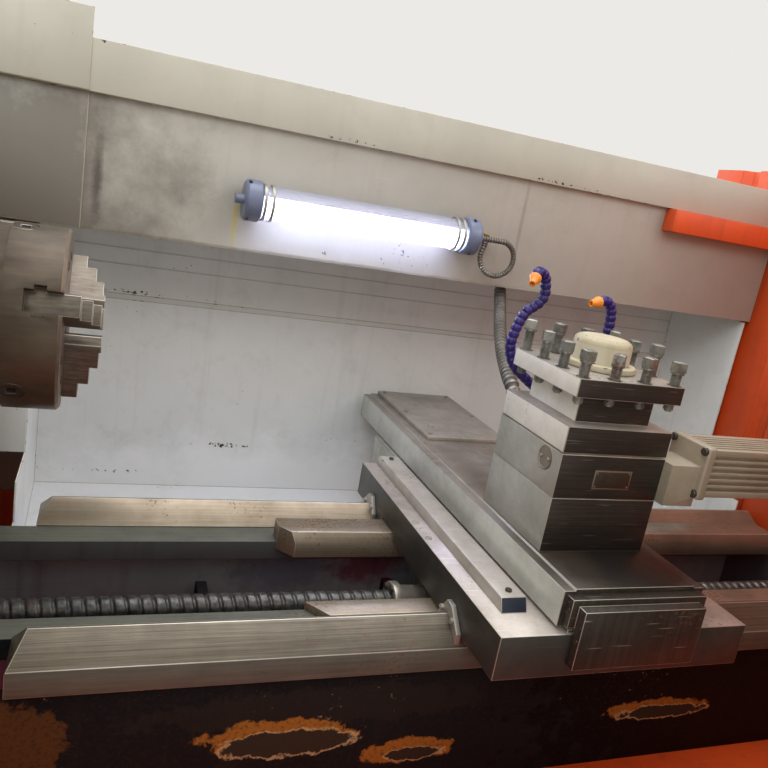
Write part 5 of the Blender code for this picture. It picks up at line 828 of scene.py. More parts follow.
def makeFasteners():
    made = {}
    for name, radius in (("cap4", 0.0035), ("cap6", 0.0050), ("cap8", 0.0066)):
        # cap screw head with a hexagon socket
        top = radius * 0.72
        profile = ((-0.0004, radius), (radius * 0.55, radius), (top, radius * 0.86), (top, radius * 0.52))
        mesh = seedMesh(profile, 18)
        socket = ((0, radius * 0.50), (radius * 0.5, radius * 0.46))
        turnedMesh((0, 0, radius * 0.721), (0, 0, -1), socket, 6, mesh)
        made[name] = hiddenSeed(name, mesh, "blackOxide")
    mesh = seedMesh(((-0.0004, 0.0058), (0.0006, 0.0058), (0.0022, 0.0046), (0.0029, 0.0026), (0.0030, 0.0)), 16)
    made["pan"] = hiddenSeed("pan", mesh, "zincPlate")
    mesh = seedMesh(((-0.0004, 0.0130), (0.0014, 0.0130), (0.0016, 0.0100)), 20)
    turnedMesh((0, 0, 0.0016), (0, 0, 1), ((0, 0.0096), (0.0052, 0.0096), (0.0064, 0.0082)), 6, mesh)
    made["hex"] = hiddenSeed("hex", mesh, "zincPlate")
    mesh = seedMesh(((-0.0004, 0.0110), (0.0014, 0.0110), (0.0020, 0.0100), (0.0020, 0.0)), 24)
    blockMesh((-0.0070, -0.0014, 0.0019), (0.0070, 0.0014, 0.0026), mesh)
    made["latch"] = hiddenSeed("latch", mesh, "zincPlate")
    # pressed louvre: a hood 90 mm long, open below
    mesh = bmesh.new()
    rings = []
    for i in range(13):
        share = i / 12
        swell = math.sin(math.pi * share) ** 0.45 if 0 < i < 12 else 0.0
        x, reach, lift = -0.045 + 0.090 * share, 0.008 * (0.35 + 0.65 * swell), 0.0024 * swell
        angles = (0.0, 0.5, 1.0, 1.57, 2.4, 3.14)
        rings.append([mesh.verts.new((x, reach * math.cos(a), lift * math.sin(a))) for a in angles])
    made["louvre"] = hiddenSeed("louvre", joinRings(mesh, rings), "creamEnamel", 50)
    return made


# screws: cap heads are blackened unless told, the rest are zinc plated
def fasten(name, kind, spots, body="base", material=None, twist=1.1):
    material = material or ("blackOxide" if kind.startswith("cap") else "zincPlate")
    return scatter(name, spots, fasteners[kind], material, body, twist)


turretOrigin = (0.489, -0.121, 0.9085)  # the turret's centre at the foot of its riser


def fromTurret(points):
    return [tuple(o + c for o, c in zip(turretOrigin, point)) for point in points]


hoses = {
    "pitch": 0.0118,
    "left": (
        (0.056, 0.161, 0.0743), (0.056, 0.161, 0.0903), (0.054, 0.163, 0.122), (0.036, 0.161, 0.162),
        (0.003, 0.154, 0.190),
        (-0.022, 0.151, 0.205), (-0.059, 0.151, 0.232), (-0.075, 0.151, 0.263), (-0.073, 0.151, 0.291),
        (-0.068, 0.151, 0.311),
        (-0.058, 0.151, 0.331), (-0.040, 0.151, 0.345), (-0.030, 0.151, 0.361), (-0.032, 0.151, 0.380),
        (-0.040, 0.148, 0.396),
        (-0.058, 0.140, 0.402), (-0.069, 0.129, 0.391), (-0.079, 0.118, 0.382),
    ),
    "right": (
        (0.107, 0.161, 0.0743), (0.107, 0.161, 0.0903), (0.109, 0.161, 0.122), (0.115, 0.155, 0.212),
        (0.119, 0.151, 0.310),
        (0.118, 0.151, 0.331), (0.116, 0.151, 0.348), (0.109, 0.150, 0.361), (0.095, 0.148, 0.368),
        (0.077, 0.143, 0.364),
        (0.058, 0.137, 0.361),
    ),
}


def makeHoses():
    # a ball-and-socket link: neck, ball, and the skirt that snaps over the next ball
    link = hiddenSeed("hoseLink", seedMesh((
        (-0.0062, 0.0074), (-0.0052, 0.0084), (-0.0034, 0.0093), (0.0012, 0.0094), (0.0036, 0.0090),
        (0.0046, 0.0081), (0.0064, 0.0078),
    ), 18), "acetalIndigo", 50)
    for side in ("left", "right"):
        points = fromTurret(hoses[side])
        route = smoothRoute(points[:-1], 0.004)
        hose = runTree(routeCurve(f"coolantHose{side.title()}", route), trees["links"], {
            "Pitch": hoses["pitch"], "Link": link, "Finish": finishes["acetalIndigo"],
        })
        hose.data.materials.clear()
        hose.data.materials.append(finishes["acetalIndigo"])
        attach(hose, "cross_slide")
        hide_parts(f"coolant_hose_{side}")
        end, tip = Vector(points[-2]), Vector(points[-1])
        onward = (tip - end).normalized()
        start, reach = end - onward * 0.004, (tip - end).length + 0.004
        nozzle = turnedMesh(start, onward, (
            (0.0, 0.0085), (0.002, 0.0106), (0.006, 0.0106), (0.009, 0.0086), (reach - 0.003, 0.0060),
            (reach, 0.0058),
            (reach, 0.0036), (reach - 0.007, 0.0032), (reach - 0.007, 0.0),
        ), 24)
        addPiece(
            f"coolantNozzle{side.title()}", nozzle, "acetalOrange", "cross_slide", smooth=40
        )
        # hexagon fitting at the manifold
        fitting = turnedMesh(Vector(points[0]) + Vector((0, 0, -0.0003)), (0, 0, 1), (
            (0, 0.0125), (0.007, 0.0125), (0.0075, 0.0110), (0.0090, 0.0110), (0.0095, 0.0095),
        ), 6)
        addPiece(f"hoseFitting{side.title()}", fitting, "brassPlain", "cross_slide")


conduits = {
    "main": {
        "radius": 0.0138, "pitch": 0.0128, "rise": 0.0028,
        "start": (0.484, -0.0107, 1.0313), "end": (0.5905, 0.431, 1.3014),
        "route": (
            (-0.005, 0.133, 0.1228), (-0.010, 0.161, 0.130), (-0.017, 0.185, 0.154), (-0.022, 0.203, 0.180),
            (-0.014, 0.241, 0.193), (0.012, 0.321, 0.216), (0.037, 0.391, 0.244), (0.066, 0.461, 0.275),
            (0.089, 0.516, 0.301), (0.100, 0.546, 0.325), (0.1015, 0.552, 0.354),
        ),
    },
    "lamp": {
        "radius": 0.0060, "pitch": 0.0060, "rise": 0.0011, "start": (0.4758, 0.341, 1.3395), "lead": 0.049,
        "loop": 0.0375,
        "turn": 300, "wall": 0.3807, "standoff": 0.022,
    },
}


def woundTube(name, points, look):
    tube = runTree(routeCurve(name, points), trees["winding"], {
        "Pitch": look["pitch"], "Radius": look["radius"], "Rise": look["rise"],
        "Finish": finishes["windingSteel"],
    })
    tube.data.materials.clear()
    for finish in ("windingSteel", "windingGroove"):
        tube.data.materials.append(finishes[finish])
    # of each winding's rings of faces, two are a groove's floor and its near side, and take the darker groove
    # finish: painted shade
    for face in tube.data.polygons:
        if len(face.vertices) == 4 and min(face.vertices) // winding["sides"] % winding["rings"] < 2:
            face.material_index = 1
    tube.data.shade_smooth()
    tube.data.set_sharp_from_angle(angle=math.radians(30))
    return tube


def makeConduits():
    main = conduits["main"]
    route = smoothRoute([main["start"]] + fromTurret(main["route"]) + [main["end"]], 0.008)
    tube = woundTube("turretConduit", route, main)
    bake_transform(tube)
    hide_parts("conduit")
    small = conduits["lamp"]
    start, loop, wall, standoff = Vector(small["start"]), small["loop"], small["wall"], small["standoff"]
    x, z = start.x + small["lead"], start.z - loop
    deep = wall - standoff - start.y
    points = [start]
    for i in range(21):
        turn = math.radians(small["turn"]) * i / 20
        points.append(Vector((x + loop * math.sin(turn), start.y + deep * i / 20, z + loop * math.cos(turn))))
    bend = points[-1] + (points[-1] - points[-2]).normalized() * standoff
    points += [Vector((bend.x, y, bend.z)) for y in (wall - standoff / 2, wall - 0.0015, wall)]
    tube = woundTube("lampConduit", smoothRoute(points, 0.004), small)
    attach(tube, "base")
    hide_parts("lamp_conduit")
    profile = ((0, 0.0110), (0.004, 0.0110), (0.0045, 0.0090), (0.012, 0.0085))
    gland = turnedMesh((bend.x, wall, bend.z), (0, -1, 0), profile, 6)
    addPiece("lampWallGland", gland, "brassPlain", "base")


lamp = {"axis": (0.341, 1.3395), "tube": (0.0043, 0.4272), "strip": 0.0265, "faces": 232, "half": 78}


def makeLamp():
    dress("lamp_tube", "lampGlass", width=0)
    y, z = lamp["axis"]
    left, right = lamp["tube"]
    # a diffuser that faces the work, in the mouth of an aluminium tray
    diffuser, tray = bmesh.new(), bmesh.new()
    half = lamp["half"]
    for mesh, radius, low, high in (
        (diffuser, lamp["strip"] - 0.001, -half, half), (tray, lamp["strip"], half + 2, 358 - half)
    ):
        ends = []
        for x in (left + 0.001, right - 0.001):
            ring = []
            for i in range(25):
                angle = math.radians(lamp["faces"] + low + (high - low) * i / 24)
                ring.append(mesh.verts.new((x, y + radius * math.cos(angle), z + radius * math.sin(angle))))
            ends.append(ring)
        joinRings(mesh, ends)
    addPiece("lampDiffuser", diffuser, "lampGlow", "base", smooth=50)
    addPiece("lampTray", tray, "castAluminium", "base", smooth=50)
    for node in ("lamp_cap_left", "lamp_cap_right"):
        dress(node, "lampNylon", width=0.0009)
    # polished bands round both ends, each with its lug screw
    for side, x in (("Left", 0.0052), ("Left2", 0.0200), ("Right", 0.4172), ("Right2", 0.4040)):
        band = turnedMesh(
            (x, y, z), (1, 0, 0), ((0, 0.0322), (0, 0.0345), (0.003, 0.0352), (0.006, 0.0345), (0.006, 0.0322)),
            40, hollow=True
        )
        addPiece(f"lampBand{side}", band, "zincPlate", "base")
    spots = [((x, y - 0.020, z + side * 0.0335), (0, -0.5, side)) for x in (-0.022, 0.4425) for side in (1, -1)]
    fasten("lampCapScrews", "cap4", spots, "base")


turret = {
    "half": 0.096, "neck": 0.069, "levels": (1.0699, 1.1114, 1.1559, 1.1849),
    "screws": (-0.084, -0.028, 0.028, 0.084), "stand": 0.052, "tip": 1.1438, "shoulder": 1.222,
    "shares": (
        (0.80, 0.81, 0.87, 1.00), (0.77, 0.77, 0.98, 0.98), (0.77, 0.77, 0.92, 0.92), (0.73, 1.00, 0.88, 0.94)
    ),
}


# rows of (distance down from the crown, reach, whether square)
def clampScrewMesh(rows, pitch, start, end):
    rows = list(rows)
    along = start
    while along < end:
        rows += [
            (along + pitch * 0.15, 0.0080, 0), (along + pitch * 0.45, 0.0080, 0),
            (along + pitch * 0.75, 0.0069, 0)
        ]
        along += pitch
    mesh = bmesh.new()
    rings = []
    for along, reach, square in rows:
        ring = []
        for i in range(24):
            angle = 2 * math.pi * i / 24
            r = reach / max(abs(math.cos(angle)), abs(math.sin(angle))) if square else reach
            ring.append(mesh.verts.new((r * math.cos(angle), r * math.sin(angle), -along)))
        rings.append(ring)
    return joinRings(mesh, rings)


def makeTurret():
    def capFaces(centre, normal):
        return "capChipped" if centre.z > turret["shoulder"] and normal.z < 0.98 else None

    def baseFaces(centre, normal):
        return "turretFront" if normal.y < -0.9 else None

    x, y = turretOrigin[:2]
    levels, half, neck = turret["levels"], turret["half"], turret["neck"]
    mesh = bmesh.new()
    rings = []
    for z, reach in (
        (levels[0], half), (levels[1], half), (levels[1], neck), (levels[2], neck), (levels[2], half),
        (levels[3], half)
    ):
        signs = ((1, 1), (-1, 1), (-1, -1), (1, -1))
        rings.append([mesh.verts.new((x + sx * reach, y + sy * reach, z)) for sx, sy in signs])
    joinRings(mesh, rings)
    head = addPiece("toolHead", mesh, "headBright", "tool_head", ("tool_head",))
    for finish in ("edgeSteel", "turretFront", "turretTop"):
        head.data.materials.append(finishes[finish])
    for face in head.data.polygons:
        face.material_index = 2 if face.normal.y < -0.9 else 3 if face.normal.z > 0.9 else 0
    bevelEdges(head, 0.0011, 2, 1)
    crowns = []
    for dx, row in zip(turret["screws"], turret["shares"]):
        for dy, share in zip(turret["screws"], row):
            if max(abs(dx), abs(dy)) == turret["screws"][-1]:
                crowns.append((x + dx, y + dy, levels[3] + turret["stand"] * share))
    crown = clampScrewMesh((
        (0.0000, 0.0058, 0), (0.0008, 0.0072, 1), (0.0018, 0.0085, 1), (0.0158, 0.0085, 1), (0.0160, 0.0086, 0),
        (0.0162, 0.0104, 0),
        (0.0196, 0.0104, 0), (0.0200, 0.0070, 0),
    ), 0.0022, 0.0205, 0.064)
    crown = hiddenSeed("clampScrewCrown", crown, "clampSteel", 32)
    scatter(
        "clampScrews", [(place, (0, 0, 1)) for place in crowns], crown, "clampSteel", "tool_head",
        1.37
    )
    tip = hiddenSeed(
        "clampScrewTip",
        clampScrewMesh(((0.0, 0.0055, 0), (0.0020, 0.0058, 0), (0.0024, 0.0070, 0)), 0.0022, 0.0026, 0.018),
        "clampSteel", 32
    )
    scatter(
        "clampScrewTips", [((px, py, turret["tip"]), (0, 0, -1)) for px, py, _ in crowns], tip, "clampSteel",
        "tool_head", 1.37
    )
    # a flat dark ring round each screw: painted shade of the tapped hole's countersink
    sink = hiddenSeed(
        "countersink",
        seedMesh(((-0.0006, 0.0112), (0.0003, 0.0112), (0.0003, 0.0082), (-0.0006, 0.0082)), 20, hollow=True),
        "blackOxide"
    )
    scatter(
        "screwCountersinks", [((px, py, levels[3]), (0, 0, 1)) for px, py, _ in crowns], sink, "blackOxide",
        "tool_head"
    )
    dress("turret_cap", "capEnamel", "capChipped", 0.0022, pick=capFaces)
    for node in ("turret_base", "turret_riser"):
        dress(node, "turretSteel", "edgeSteel", 0.0010, top="turretTop", pick=baseFaces)
    dress("motor_adapter", "castAluminium", width=0.0012)
    dress("turret_motor", "castAluminium", width=0.0008)
    fasten(
        "adapterScrews", "cap8", gridOf(0.640, (-0.2365, -0.1655), (1.0200, 1.0910), (-1, 0, 0)), "cross_slide",
    )
    fasten(
        "motorEndScrews", "cap6", gridOf(0.8950, (-0.2340, -0.1680), (1.0225, 1.0885), (1, 0, 0)), "cross_slide",
    )
    cover = turnedMesh(
        (0.8948, -0.201, 1.0555), (1, 0, 0), ((0, 0.0250), (0.0030, 0.0250), (0.0044, 0.0232), (0.0044, 0.0)), 32
    )
    addPiece("motorEndCover", cover, "blackNylon", "cross_slide")
    # a blank plate with a raised rim on the front, and a blank badge on the left
    front, left = y - half, x - half
    plateOn(
        "frontPlate", (0.4585, front - 0.0006, 1.0140), (0.5275, front - 0.0001, 1.0450), "plateRim",
        "cross_slide", 0.0002
    )
    plateOn(
        "frontPlateField", (0.4610, front - 0.0010, 1.0165), (0.5250, front - 0.0005, 1.0425), "blankPlate",
        "cross_slide", 0.0002
    )
    pin = hiddenSeed("platePin", seedMesh(((-0.0003, 0.0017), (0.0006, 0.0014), (0.0009, 0.0)), 12), "plateRim")
    spots = gridOf((0.4632, 0.5228), front - 0.0009, (1.0188, 1.0402), (0, -1, 0))
    scatter("platePins", spots, pin, "plateRim", "cross_slide")
    profile = (
        (-0.0002, 0.0190), (0.0008, 0.0190), (0.0012, 0.0182), (0.0012, 0.0160), (0.0007, 0.0156), (0.0007, 0.0),
    )
    badge = turnedMesh((left - 0.0001, -0.176, 1.0470), (-1, 0, 0), profile, 40)
    addPiece("leftBadge", badge, "plateRim", "cross_slide")
    fasten(
        "badgePins", "cap4", gridOf(left - 0.0008, (-0.1865, -0.1655), 1.0470, (-1, 0, 0)), "cross_slide",
        "plateRim"
    )
    fasten("riserScrews", "cap6", gridOf(0.598, (0.010, 0.045), 0.9972, (0, 0, 1)), "cross_slide")
    # screws on the turret's right
    fasten(
        "baseScrews", "cap8", gridOf(0.5850, (-0.195, -0.050), (0.930, 0.975), (1, 0, 0)), "cross_slide",
    )


def makeCarriage():
    def slideFaces(centre, normal):
        return "coverSteel" if normal.y < -0.9 else "slideSide" if abs(normal.x) > 0.5 or normal.y > 0.9 else None

    def barFaces(centre, normal):
        return "navyEnd" if normal.y < -0.5 else None

    dress("saddle", "saddleSteel", "edgeSteel", 0.0012, side="castingDark", name="saddleCasting")
    dress("trip_bar", "barSteel", "edgeSteel", 0.0009, pick=barFaces)
    dress("x_motor", "slideSide", "edgeSteel", 0.0015, name="motorCover")
    dress("z_nut", "screwSteel", "edgeSteel", 0.0006, name="screwNut")
    dress("conduit_trolley", "greyNylon", width=0.0008)
    dress("cross_slide", "slideSteel", "edgeSteel", 0.0011, pick=slideFaces)
    dress("slide_rear_plate", "turretTop", "edgeSteel", 0.0009)
    dress("slide_front_cover", "coverSteel", "edgeSteel", 0.0010)
    for row in ("front", "rear"):
        for end in ("left", "right"):
            name = f"wiper{row.title()}{end.title()}"
            dress(f"way_wiper_{row}_{end}", "zincPlate", "edgeSteel", 0.0006, name=name)
    spots = []
    for side in (-1, 1):
        for x, facing in ((0.2697, -1), (0.7223, 1)):
            for offset, drop in ((0.020, 0.0205), (-0.018, 0.0195)):
                spots.append(((x, side * (0.197 + offset), 0.8135 - drop), (facing, 0, 0)))
    fasten("wiperScrews", "cap6", spots, "saddle", "zincPlate")
    fasten("barScrews", "cap6", gridOf(0.329, (-0.255, 0.262), 0.8653, (0, 0, 1)), "saddle")
    # oil points on the saddle's wings: a steel rim round a sunk ball
    profile = (
        (-0.0004, 0.0064), (0.0008, 0.0064), (0.0014, 0.0056), (0.0012, 0.0034), (0.0004, 0.0030),
        (0.0009, 0.0018), (0.0011, 0.0),
    )
    point = hiddenSeed("oilPoint", seedMesh(profile, 20), "zincPlate", 40)
    places = ((0.2885, 0.010), (0.2885, -0.051), (0.690, -0.15), (0.690, 0.15))
    spots = [((x, y, 0.8450), (0, 0, 1)) for x, y in places]
    scatter("oilPoints", spots, point, "zincPlate", "saddle")
    fasten(
        "nutScrews", "cap6", ringOf((0.2400, -0.045, 0.722), (-1, 0, 0), 0.0275, 6, 0.3), "saddle"
    )
    fasten(
        "coverScrews", "cap6", gridOf((0.384, 0.608), 0.4903, (0.712, 0.833), (0, 1, 0)), "saddle"
    )
    fasten(
        "saddleSideScrews", "cap8", gridOf(0.7140, (-0.300, -0.130, 0.040, 0.110, 0.270), 0.811, (1, 0, 0)),
        "saddle"
    )
    fasten(
        "plateScrews", "cap6", gridOf((0.420, 0.592), (0.290, 0.440, 0.594), 0.9166, (0, 0, 1)), "cross_slide",
        "slideSteel"
    )


screwThread = {"pitch": 0.0200, "depth": 0.0030, "radius": 0.0198, "sides": 24, "steps": 14, "groove": 0.34}


def makeScrews():
    low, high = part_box("z_ball_screw")
    y, z = (low.y + high.y) / 2, (low.z + high.z) / 2
    pitch, sides = screwThread["pitch"], screwThread["sides"]
    start, end = low.x + 0.024, high.x - 0.024
    count = int((end - start) / (pitch / screwThread["steps"]))
    mesh = bmesh.new()
    rings = []
    for i in range(count + 1):
        x = start + (end - start) * i / count
        ring = []
        for k in range(sides):
            angle = 2 * math.pi * k / sides
            phase = (x / pitch - k / sides) % 1.0
            width = screwThread["groove"]
            groove = math.sin(math.pi * phase / width) ** 0.6 if 0 < phase < width else 0.0
            radius = screwThread["radius"] - screwThread["depth"] * groove
            if i in (0, count):
                radius = screwThread["radius"] * 0.85
            ring.append(mesh.verts.new((x, y + radius * math.cos(angle), z + radius * math.sin(angle))))
        rings.append(ring)
    joinRings(mesh, rings)
    for x, direction in ((start, -1), (end, 1)):
        turnedMesh((x, y, z), (direction, 0, 0), ((-0.001, 0.0118), (0.0235, 0.0118)), 24, mesh)
    addPiece("longBallScrew", mesh, "threadSteel", "z_screw", ("z_ball_screw",), smooth=60)
    dress("x_ball_screw", "screwSteel", width=0, name="crossBallScrew")


chuck = {"axis": (0.0, 1.1499), "face": -0.3024, "screwRadius": 0.088, "between": (100, 220, 340)}


def makeChuck():
    def chuckFaces(centre, normal):
        return "chuckSteel" if normal.x > 0.7 else None

    dress("chuck_body", "chuckRim", "edgeSteel", 0.0012, pick=chuckFaces)
    dress("spindle", "blackOxide", "edgeSteel", 0.0008, name="spindleShaft")
    for i in (1, 2, 3):
        dress(f"jaw_{i}", "jawSteel", "edgeSteel", 0.0008, name=f"chuckJaw{i}")
        dress(f"chuck_pinion_{i}", "blackOxide", "edgeSteel", 0.0005, name=f"keySocket{i}")
    (y, z), x, reach = chuck["axis"], chuck["face"] - 0.0038, chuck["screwRadius"]
    spots = []
    for middle in chuck["between"]:
        for turn in (-15, 15):
            angle = math.radians(middle + turn)
            spots.append(((x, y + reach * math.cos(angle), z + reach * math.sin(angle)), (1, 0, 0)))
    fasten("chuckFaceScrews", "cap8", spots, "spindle")
    fasten("noseCapScrews", "cap6", ringOf((-0.4250, 0, 1.1499), (1, 0, 0), 0.1000, 8, 0.4))


def makeBed():
    def bedFaces(centre, normal):
        if normal.z > 0.9 and centre.z > 0.735:
            return "wayWornFlank"
        if abs(centre.y) < 0.215 and normal.y * centre.y < 0.001 and centre.z > 0.55:
            trough = "bedLedge" if abs(centre.y) < 0.15 else "bedInner"
            return "bedPrimer" if centre.x > 0 and normal.z > 0.5 else trough
        return None

    dress("bed", "bedEnamel", width=0.0020, pick=bedFaces, name="bedCasting")
    dress("front_way", "wayWorn", "edgeSteel", 0.0008, side="wayWornFlank", name="wayFront")
    dress("rear_way", "wayGround", "edgeSteel", 0.0008, side="wayFlank", name="wayRear")
    for node in ("tail_way_front", "tail_way_rear"):
        dress(node, "wayTail", "edgeSteel", 0.0008)
    dress("z_motor", "blackOxide", width=0.0015, name="screwMotor")
    fasten(
        "bedFootBolts", "hex",
        [
            ((x, side * 0.2201, 0.520), (0, side, 0)) for x in (-0.92, -0.60, 0.30, 0.75, 1.18)
            for side in (-1, 1) if side > 0 or abs(x) > 0.8
        ],
        "base"
    )


enclosure = {"laps": ((1.1478, 1.1498), (1.1835, 1.1855)), "lapEnds": (-0.360, 1.288), "panFace": 0.651}


def makeEnclosure():
    def upperFaces(centre, normal):
        return "creamEnamel" if centre.y > 0.60 and normal.y > 0.5 else "railEnamel" if centre.z > 1.470 else None

    dress("guard_upper", "guardEnamel", "creamEdge", 0.0009, pick=upperFaces)
    dress("guard_pan", "panEnamel", "creamEdge", 0.0009)
    dress("end_wall", "orangeEnamel", "orangeEdge", 0.0009)
    dress("chip_tray", "orangeEnamel", "orangeEdge", 0.0009)
    for node in ("front_apron", "front_panel_left", "front_panel_right", "front_beam", "headstock_casing"):
        dress(node, "creamEnamel", "creamEdge", 0.0009)
    for node in ("stand_left", "stand_right", "headstock", "door_panel", "operator_box", "electrical_cabinet"):
        name = "headstockCasting" if node == "headstock" else None
        dress(node, "creamEnamel", "creamEdge", 0.0016, name=name)
    dress("door_window", "windowPane", width=0)
    # rubber glazing strip round the door's window, inside and out
    for name, low, high in (("gasketFront", -0.6360, -0.6345), ("gasketBack", -0.6062, -0.6050)):
        mesh = frameMesh((-1.163, -0.587), (1.042, 1.488), 0.014, (low, high))
        bevelEdges(addPiece(name, mesh, "rubberBlack", "door"), 0.0006)
    # the pan is folded from lapped sheets: two laps run across it, each with its shaded lip
    (left, right), face = enclosure["lapEnds"], enclosure["panFace"]
    for i, (z0, z1) in enumerate(enclosure["laps"]):
        low, high = (left, face - 0.0016, z0), (right, face + 0.0002, z1)
        plateOn(f"panLap{i}", low, high, "panEnamel", "base", 0.0005, "lapShade")
    # joint strips and screws on the back of the guard
    for i, x in enumerate((-0.30, 0.25, 0.80)):
        creamSheet(f"jointStrip{i}", (x - 0.022, 0.6584, 0.575), (x + 0.022, 0.6612, 1.548), 0.0008)
        rows = (rowOf((x + dx, 0.6612, 0.60), (x + dx, 0.6612, 1.52), 9, (0, 1, 0)) for dx in (-0.013, 0.013))
        fasten(f"jointScrews{i}", "pan", sum(rows, []))
    rows = (rowOf((-0.44, 0.6584, z), (1.26, 0.6584, z), 12, (0, 1, 0)) for z in (1.545, 0.575))
    fasten("backSkinScrews", "pan", sum(rows, []))
    rows = (rowOf((1.3281, y, 0.55), (1.3281, y, 1.57), 6, (1, 0, 0)) for y in (-0.56, 0.61))
    fasten("endWallBolts", "hex", sum(rows, []), "base")
    fasten("beamScrews", "pan", rowOf((-1.30, -0.6699, 1.651), (1.30, -0.6699, 1.651), 14, (0, -1, 0)))
    fasten("apronScrews", "pan", rowOf((-1.30, -0.6034, 0.560), (1.30, -0.6034, 0.560), 14, (0, -1, 0)))
    spots = []
    for low, high in ((-1.32, -0.44), (0.52, 1.32)):
        for z in (0.825, 1.58):
            spots += rowOf((low, -0.6034, z), (high, -0.6034, z), 6, (0, -1, 0))
    fasten("frontPanelScrews", "pan", spots)


# a picture-frame ring in the XZ plane, from y low to y high
def frameMesh(x, z, width, y):
    mesh = bmesh.new()
    loops = []
    for depth, grow in ((y[0], 0), (y[0], -width), (y[1], -width), (y[1], 0)):
        corners = (
            (x[0] - grow, z[0] - grow), (x[1] + grow, z[0] - grow), (x[1] + grow, z[1] + grow),
            (x[0] - grow, z[1] + grow)
        )
        loops.append([mesh.verts.new((px, depth, pz)) for px, pz in corners])
    return joinRings(mesh, loops, closed=False, around=True)


cabinet = {"x": (-1.2600, -0.5403), "z": (0.6406, 1.5400), "floor": 0.7144}


def makeCabinet():
    # sheet door in the cabinet's back pocket, with louvres, hinges and quarter-turn latches
    x, z, floor = cabinet["x"], cabinet["z"], cabinet["floor"]
    creamSheet(
        "cabinetDoor", (x[0] + 0.004, floor + 0.0001, z[0] + 0.004), (x[1] - 0.004, floor + 0.0014, z[1] - 0.004),
        0.0005
    )
    levels = [bottom + 0.026 * i for bottom in (0.70, 1.36) for i in range(6)]
    louvres = gridOf((-1.10, -0.99, -0.88, -0.77, -0.66), floor + 0.0014, levels, (0, 1, 0))
    scatter("cabinetLouvres", louvres, fasteners["louvre"], "creamEnamel")
    fasten("cabinetLatches", "latch", gridOf(x[1] - 0.030, floor + 0.0014, (0.72, 1.09, 1.46), (0, 1, 0)))
    for i, hz in enumerate((0.74, 1.09, 1.44)):
        mesh = blockMesh((x[0] + 0.002, floor + 0.0012, hz - 0.030), (x[0] + 0.030, floor + 0.0024, hz + 0.030))
        turnedMesh(
            (x[0] + 0.005, floor + 0.0022, hz - 0.031), (0, 0, 1), ((0, 0.0016), (0.062, 0.0016)), 12, mesh
        )
        bevelEdges(addPiece(f"cabinetHinge{i}", mesh, "zincPlate", "base"), 0.0003)
    # louvred cover on the outer side of the headstock casing
    side = -1.3302
    creamSheet("casingCover", (side - 0.0022, -0.46, 0.62), (side + 0.0001, 0.31, 1.33), 0.0009)
    louvres = gridOf(
        side - 0.0022, (-0.30, -0.19, -0.08, 0.03, 0.14), [0.74 + 0.030 * i for i in range(7)], (-1, 0, 0)
    )
    scatter("casingLouvres", louvres, fasteners["louvre"], "creamEnamel")
    spots = gridOf(side - 0.0022, (-0.445, -0.19, 0.04, 0.295), (0.635, 1.315), (-1, 0, 0))
    spots += gridOf(side - 0.0022, (-0.445, 0.295), (0.86, 1.09), (-1, 0, 0))
    fasten("casingCoverScrews", "pan", spots)
    fasten("casingTopScrews", "pan", gridOf((-1.31, -1.03), (-0.52, -0.22, 0.08, 0.37), 1.4501, (0, 0, 1)))


headstock = {"top": 1.4163}


def makeHeadstock():
    top = headstock["top"]
    creamSheet("headstockLid", (-0.95, -0.185, top + 0.0001), (-0.50, 0.185, top + 0.0075), 0.0015)
    spots = gridOf((-0.93, -0.80, -0.65, -0.52), (-0.170, 0.170), top + 0.0075, (0, 0, 1))
    spots += gridOf((-0.93, -0.52), 0.0, top + 0.0075, (0, 0, 1))
    fasten("lidScrews", "cap8", spots)
    # oil sight glass and filler on the operator's side
    glass = turnedMesh(
        (-0.62, -0.2351, 0.93), (0, -1, 0),
        (
            (-0.0004, 0.0240), (0.0050, 0.0240), (0.0065, 0.0225), (0.0065, 0.0165), (0.0030, 0.0160),
            (0.0030, 0.0)
        ),
        32
    )
    addPiece("oilSightGlass", glass, "zincPlate", "base")
    plug = turnedMesh(
        (-0.70, 0.0, top + 0.0074), (0, 0, 1), ((0, 0.0180), (0.0110, 0.0180), (0.0130, 0.0160), (0.0130, 0.0)),
        32
    )
    addPiece("oilFiller", plug, "blackNylon", "base")
    fasten(
        "headstockFeetBolts", "hex",
        [((x, side * 0.2351, 0.79), (0, side, 0)) for x in (-0.95, -0.72, -0.50) for side in (-1, 1)]
    )


stand = {"left": (-1.220, -0.590), "right": (0.710, 1.190), "z": (0.130, 0.426), "floor": -0.554}


def makeStands():
    # pressed doors with latches and louvres in the stands' front pockets
    for side in ("left", "right"):
        x, z, floor = stand[side], stand["z"], stand["floor"]
        creamSheet(
            f"standDoor{side.title()}", (x[0] + 0.004, floor - 0.0026, z[0] + 0.004),
            (x[1] - 0.004, floor - 0.0001, z[1] - 0.004), 0.0009
        )
        fasten(
            f"standLatches{side.title()}", "latch",
            gridOf(x[1] - 0.035, floor - 0.0026, (0.19, 0.365), (0, -1, 0))
        )
        middle = (x[0] + x[1]) / 2
        louvres = gridOf(
            (middle - 0.11, middle), floor - 0.0026, [0.20 + 0.026 * i for i in range(6)], (0, -1, 0)
        )
        scatter(f"standLouvres{side.title()}", louvres, fasteners["louvre"], "creamEnamel")


operator = {
    "face": -0.6656, "desk": -0.6996, "keys": ((0.955, 1.150), (1.300, 1.560)), "keyFloor": -0.6626,
    "screen": ((0.655, 0.925), (1.300, 1.560)),
    "dial": (0.94, 1.14), "stop": (1.10, 1.14),
}


